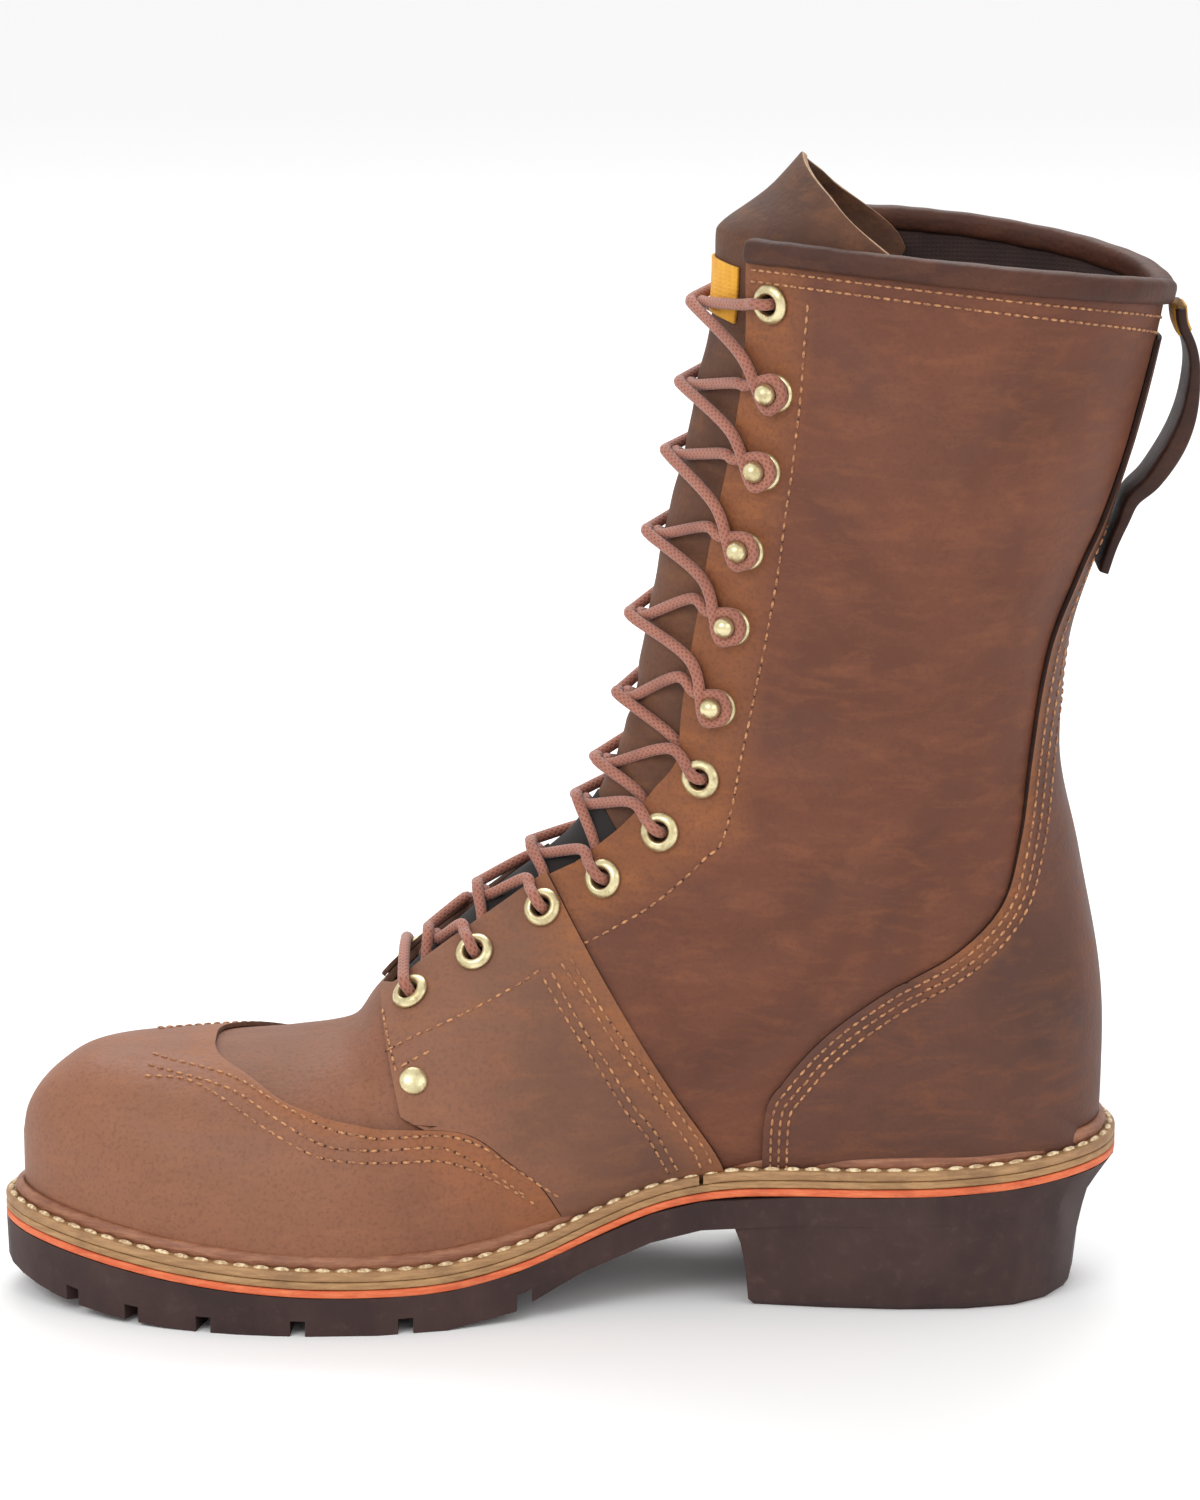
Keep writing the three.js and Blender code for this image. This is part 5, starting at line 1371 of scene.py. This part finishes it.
def strand(first_side):
    points = []
    for number in range(1, len(HOLDERS) + 1):
        side = first_side if number % 2 else -first_side
        holder = by_number[number, side]
        place = holder[3]
        gap = float(half_gap(place))
        top = facing_top(place)
        if number > 1:
            points.append(across_point(place - 0.1, side * (gap - 1.5), 0.6 + top))
            points.append(across_point(place - 0.04, side * (gap + 2.2), top + LACE + 0.25))
        if holder[1] == "hook":
            points += [in_holder(holder, *spot) for spot in HOOK_TURN]
            points.append(across_point(place + 0.34, side * (gap + 0.8), top + LACE + 0.4))
        else:
            points += [in_holder(holder, *spot) for spot in EYELET_DIP]
            if number == len(HOLDERS):
                points.append(in_holder(holder, -0.5, 0, -5.0))
                break
            points.append(in_holder(holder, 4.5, 0.8, -4.3 - top))
            points.append(across_point(place + 0.16, side * (gap - 2.2), -2.6))
        middle, over = crossing_places[number - 1], CROWN[side]
        points += [across_point(middle - 0.03, side * 4.5, over - 0.3), across_point(middle, 0, over),
                   across_point(middle + 0.03, -side * 4.5, over - 0.3)]
    return points


bar = [across_point(HOLDERS[0][0] + 0.02, side * 5, LACE + 1.2) for side in (1, -1)]
lace_line = rounded_path(strand(1)[::-1] + bar + strand(-1), LACE_STEP)
lace_run = unit(np.gradient(lace_line, axis=0))
sideways = [np.cross(lace_run[0], [0, 0, 1.0])]
for direction in lace_run:
    sideways.append(along_surface(sideways[-1], direction))
sideways = np.array(sideways[1:])
upright = np.cross(lace_run, sideways)
lace_length = LACE_STEP * (len(lace_line) - 1)


def lace_shape(u, v):
    i = np.rint(v * (len(lace_line) - 1)).astype(int)
    angle = (2 * math.pi * u)[:, None]
    return lace_line[i] + LACE * (np.cos(angle) * sideways[i] + np.sin(angle) * upright[i])


lace = shaped_grid(12, len(lace_line) - 1, lace_shape, weld=0.004)
braid = lace.loops.layers.uv["braid"]
for face in lace.faces:
    for corner in face.loops:
        corner[braid].uv.y *= lace_length * MM
bmesh.ops.recalc_face_normals(lace, faces=lace.faces[:])
finish_piece("lace", lace, [lace_braid], [f"lace_crossing_{k}" for k in range(1, len(HOLDERS))])
print("lace length in mm:", round(lace_length))

# %% [markdown]
# ## Seams
#
# The boot is held together by rows of tan thread, about four stitches to the centimetre, and the
# welt by heavy cream thread. A stitch is a small rounded bar with a flat dark disc at each end, painted
# shade for the needle hole. Rows are laid along readings from the side view or at a set distance inside
# a panel's edge.

# %% Make one stitch and lay the rows


def stitch_mesh(length, width, height):
    bm = bmesh.new()
    bmesh.ops.create_uvsphere(bm, u_segments=8, v_segments=6, radius=1)
    for vert in bm.verts:
        x, y, z = vert.co
        vert.co = (x * length / 2, y * width / 2, z * height / 2)
    threads = len(bm.faces)
    for end in (-1, 1):
        # a flat dark disc under each end of the stitch: painted shade for the needle hole
        made = bmesh.ops.create_circle(bm, cap_ends=True, segments=7, radius=width * 0.5,
                                       matrix=Matrix.Translation((end * length * 0.54, 0, -height * 0.22)))
        for vert in made["verts"]:
            for face in vert.link_faces:
                face.material_index = 1
    bmesh.ops.scale(bm, vec=(MM, MM, MM), verts=bm.verts[:])
    return template(bm)


def even_marks(length, pitch):
    count = max(1, int(length / pitch))
    return (np.arange(count) + 0.5) * length / count


def stitch_matrices(path, pitch, lift):
    spots = leather_point(path[:, 0], path[:, 1], lift)
    gone = distance_along(spots)
    marks = even_marks(gone[-1], pitch)
    places, turns = read_points(marks, gone, path).T
    normal = form_normal(places, turns)
    ahead = read_points(marks + 0.6, gone, spots) - read_points(marks - 0.6, gone, spots)
    parts = zip(along_surface(ahead, normal), normal, leather_point(places, turns, lift))
    return [seat_matrix(x, np.cross(z, x), z, spot) for x, z, spot in parts]


def side_row(outline, side):
    places, turns = seated(outline, side, 1.5)
    return np.stack([places, side * turns], -1)


def beside(outline, distance):
    path = rounded_path(outline, 4.0)
    run = unit(np.gradient(path, axis=0))
    return path + distance * np.stack([run[:, 1], -run[:, 0]], -1)


CAP_ROWS = [
    [(209.5, 67.9), (186.3, 65.2), (172.6, 60.6), (159.3, 56.0), (147.4, 54.2), (138.7, 54.2), (125.8, 53.9),
     (116.2, 50.6), (107.5, 44.2), (98.9, 37.8), (94.6, 34.6)],
    [(210.4, 66.6), (187.2, 63.2), (174.7, 58.2), (161.4, 52.4), (151.6, 51.1), (140.8, 51.2), (128, 51.0),
     (119.4, 47.3), (110.8, 41.2), (104.3, 36.1)],
    [(211, 64.8), (198.7, 64.4), (188.1, 61.2), (175.6, 55.2), (162.4, 49.6), (153.7, 48.3), (140.8, 47.9),
     (128, 47.4), (118.3, 44.1), (107.5, 37.6), (101.1, 32.8)],
]
QUARTER_ROWS = [
    [(142.3, 74.0), (134.7, 78.2), (121.7, 84.0), (106.5, 92.0), (98.9, 96.9)],
    [(143.0, 82.5), (141.6, 77.3), (140.4, 73.2), (139.4, 69.5)],
    [(138.6, 70.6), (135.4, 72.6), (129.6, 75.4)],
    [(90.9, 100.5), (82.6, 87.7), (75.0, 77.2), (64.1, 63.0), (54.4, 49.0), (51.6, 43.0)],
    [(93.6, 99.2), (85.8, 88.7), (78.2, 77.1), (67.4, 62.9), (57.6, 48.4), (54.6, 41.8)],
    [(96.2, 96.6), (89.1, 84.4), (80.5, 71.6), (73.9, 60.6), (67.4, 52.6), (61.2, 41.0)],
    [(98.6, 95.0), (91.4, 83.0), (82.9, 70.4), (76.2, 59.4), (69.8, 51.4), (63.8, 40.2)],
]
STAY_ROW = [(27.1, 287.1), (29.4, 253.8), (32.2, 229.8), (36.5, 198.2), (43, 163.9), (48.4, 136.9), (53.9, 130),
            (58.6, 125.1), (68.5, 116.3), (80.2, 108.6), (88.4, 104)]
tan_stitch = stitch_mesh(2.3, 0.8, 0.75)
needle_hole_shade = Finish("painted shade in needle holes").wear(Base_Color=colour(66, 40, 28), Roughness=0.9)
ON_PANEL, ON_UPPER = OVERLAY_TOP + 0.12, 0.12
for side, word in ((1, "inner"), (-1, "outer")):
    frames = []
    for row in CAP_ROWS + QUARTER_ROWS:
        frames += stitch_matrices(side_row(row, side), 3.0, ON_PANEL)
    frames += stitch_matrices(side_row(STAY_ROW, side), 3.2, ON_UPPER)
    for distance in (2.3, 4.6, 6.9):
        row = beside(COUNTER_EDGE[3:] if distance < 3 else COUNTER_EDGE[5:], distance)
        frames += stitch_matrices(side_row(row[row[:, 1] > 37], side), 2.9, ON_PANEL)
    edge = float(throat_turn(float(COLLAR)))
    for drop in (0.275, 0.4):
        turns = side * np.linspace(edge + 0.012, 0.995, 260)
        row = np.stack([collar_place(turns) - drop, turns], -1)
        frames += stitch_matrices(row, 2.7, ON_UPPER)
    copies(f"{word} seams", tan_stitch, frames, [tan_thread, needle_hole_shade])
    print(word, "seams:", len(frames), "stitches")

cream_stitch = stitch_mesh(4.6, 1.7, 1.5)
STITCH_INSET, STITCH_PITCH = 1.6, 5.7
place, edge_side = round_the_edge(np.linspace(0, FULL, 4000))
track = sole_edge(place, edge_side, STITCH_INSET)
track = np.column_stack([track, welt_top(track[:, 0]) + 0.1])
gone = distance_along(track)
marks = even_marks(gone[-1], STITCH_PITCH)
ahead = unit(read_points(marks + 1, gone, track) - read_points(marks - 1, gone, track))
across = unit(np.cross([0, 0, 1], ahead))
parts = zip(ahead, across, read_points(marks, gone, track))
frames = [seat_matrix(x, y, np.cross(x, y), spot) for x, y, spot in parts]
copies("welt stitches", cream_stitch, frames, [cream_thread, needle_hole_shade])
print("welt stitches:", len(frames))

# %% [markdown]
# ## Floor and light
#
# The boot stands on a plain pale floor under soft studio light. A large soft box high on the toe side is
# the key light, a second fills the heel side, and a third lifts the edges from behind.

# %% Set the floor and the lights
floor = bmesh.new()
bmesh.ops.create_grid(floor, x_segments=1, y_segments=1, size=6)
floor_mesh = bpy.data.meshes.new("floor")
floor.to_mesh(floor_mesh)
floor.free()
floor = bpy.data.objects.new("floor", floor_mesh)
bpy.context.scene.collection.objects.link(floor)
floor_mesh.materials.append(Finish("pale floor").wear(Base_Color=(0.93, 0.93, 0.93), Roughness=0.9))
floor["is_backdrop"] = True


BOOT_MIDDLE = (0.08, 0, 0.12)


def soft_box(name, spot, size, power):
    lamp = bpy.data.lights.new(name, "AREA")
    lamp.shape, lamp.size, lamp.size_y, lamp.energy = "RECTANGLE", size, size * 0.7, power
    box = bpy.data.objects.new(name, lamp)
    box.location = spot
    turn_to(box, BOOT_MIDDLE)
    bpy.context.scene.collection.objects.link(box)


soft_box("key soft box", (0.9, 1.2, 1.3), 0.9, 10)
soft_box("fill soft box", (-1.0, 1.1, 0.9), 1.2, 3)
soft_box("rim soft box", (0.1, -1.2, 1.4), 1.2, 14)
world = bpy.data.worlds.new("studio")
bpy.context.scene.world = world
world.use_nodes = True
world.node_tree.nodes["Background"].inputs["Strength"].default_value = 1.0
world.node_tree.nodes["Background"].inputs["Color"].default_value = (1, 1, 1, 1)
print("lights:", len(bpy.data.lights))

# %% [markdown]
# ## Sizes
#
# The last cell gives the size of the solids and of the dressed boot side by side, so that they can be
# compared.

# %% Give the sizes


def plain(value):
    return [plain(item) for item in value] if hasattr(value, "__len__") else float(value)


{"cad": plain(cad_box), "scene": plain(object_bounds())}
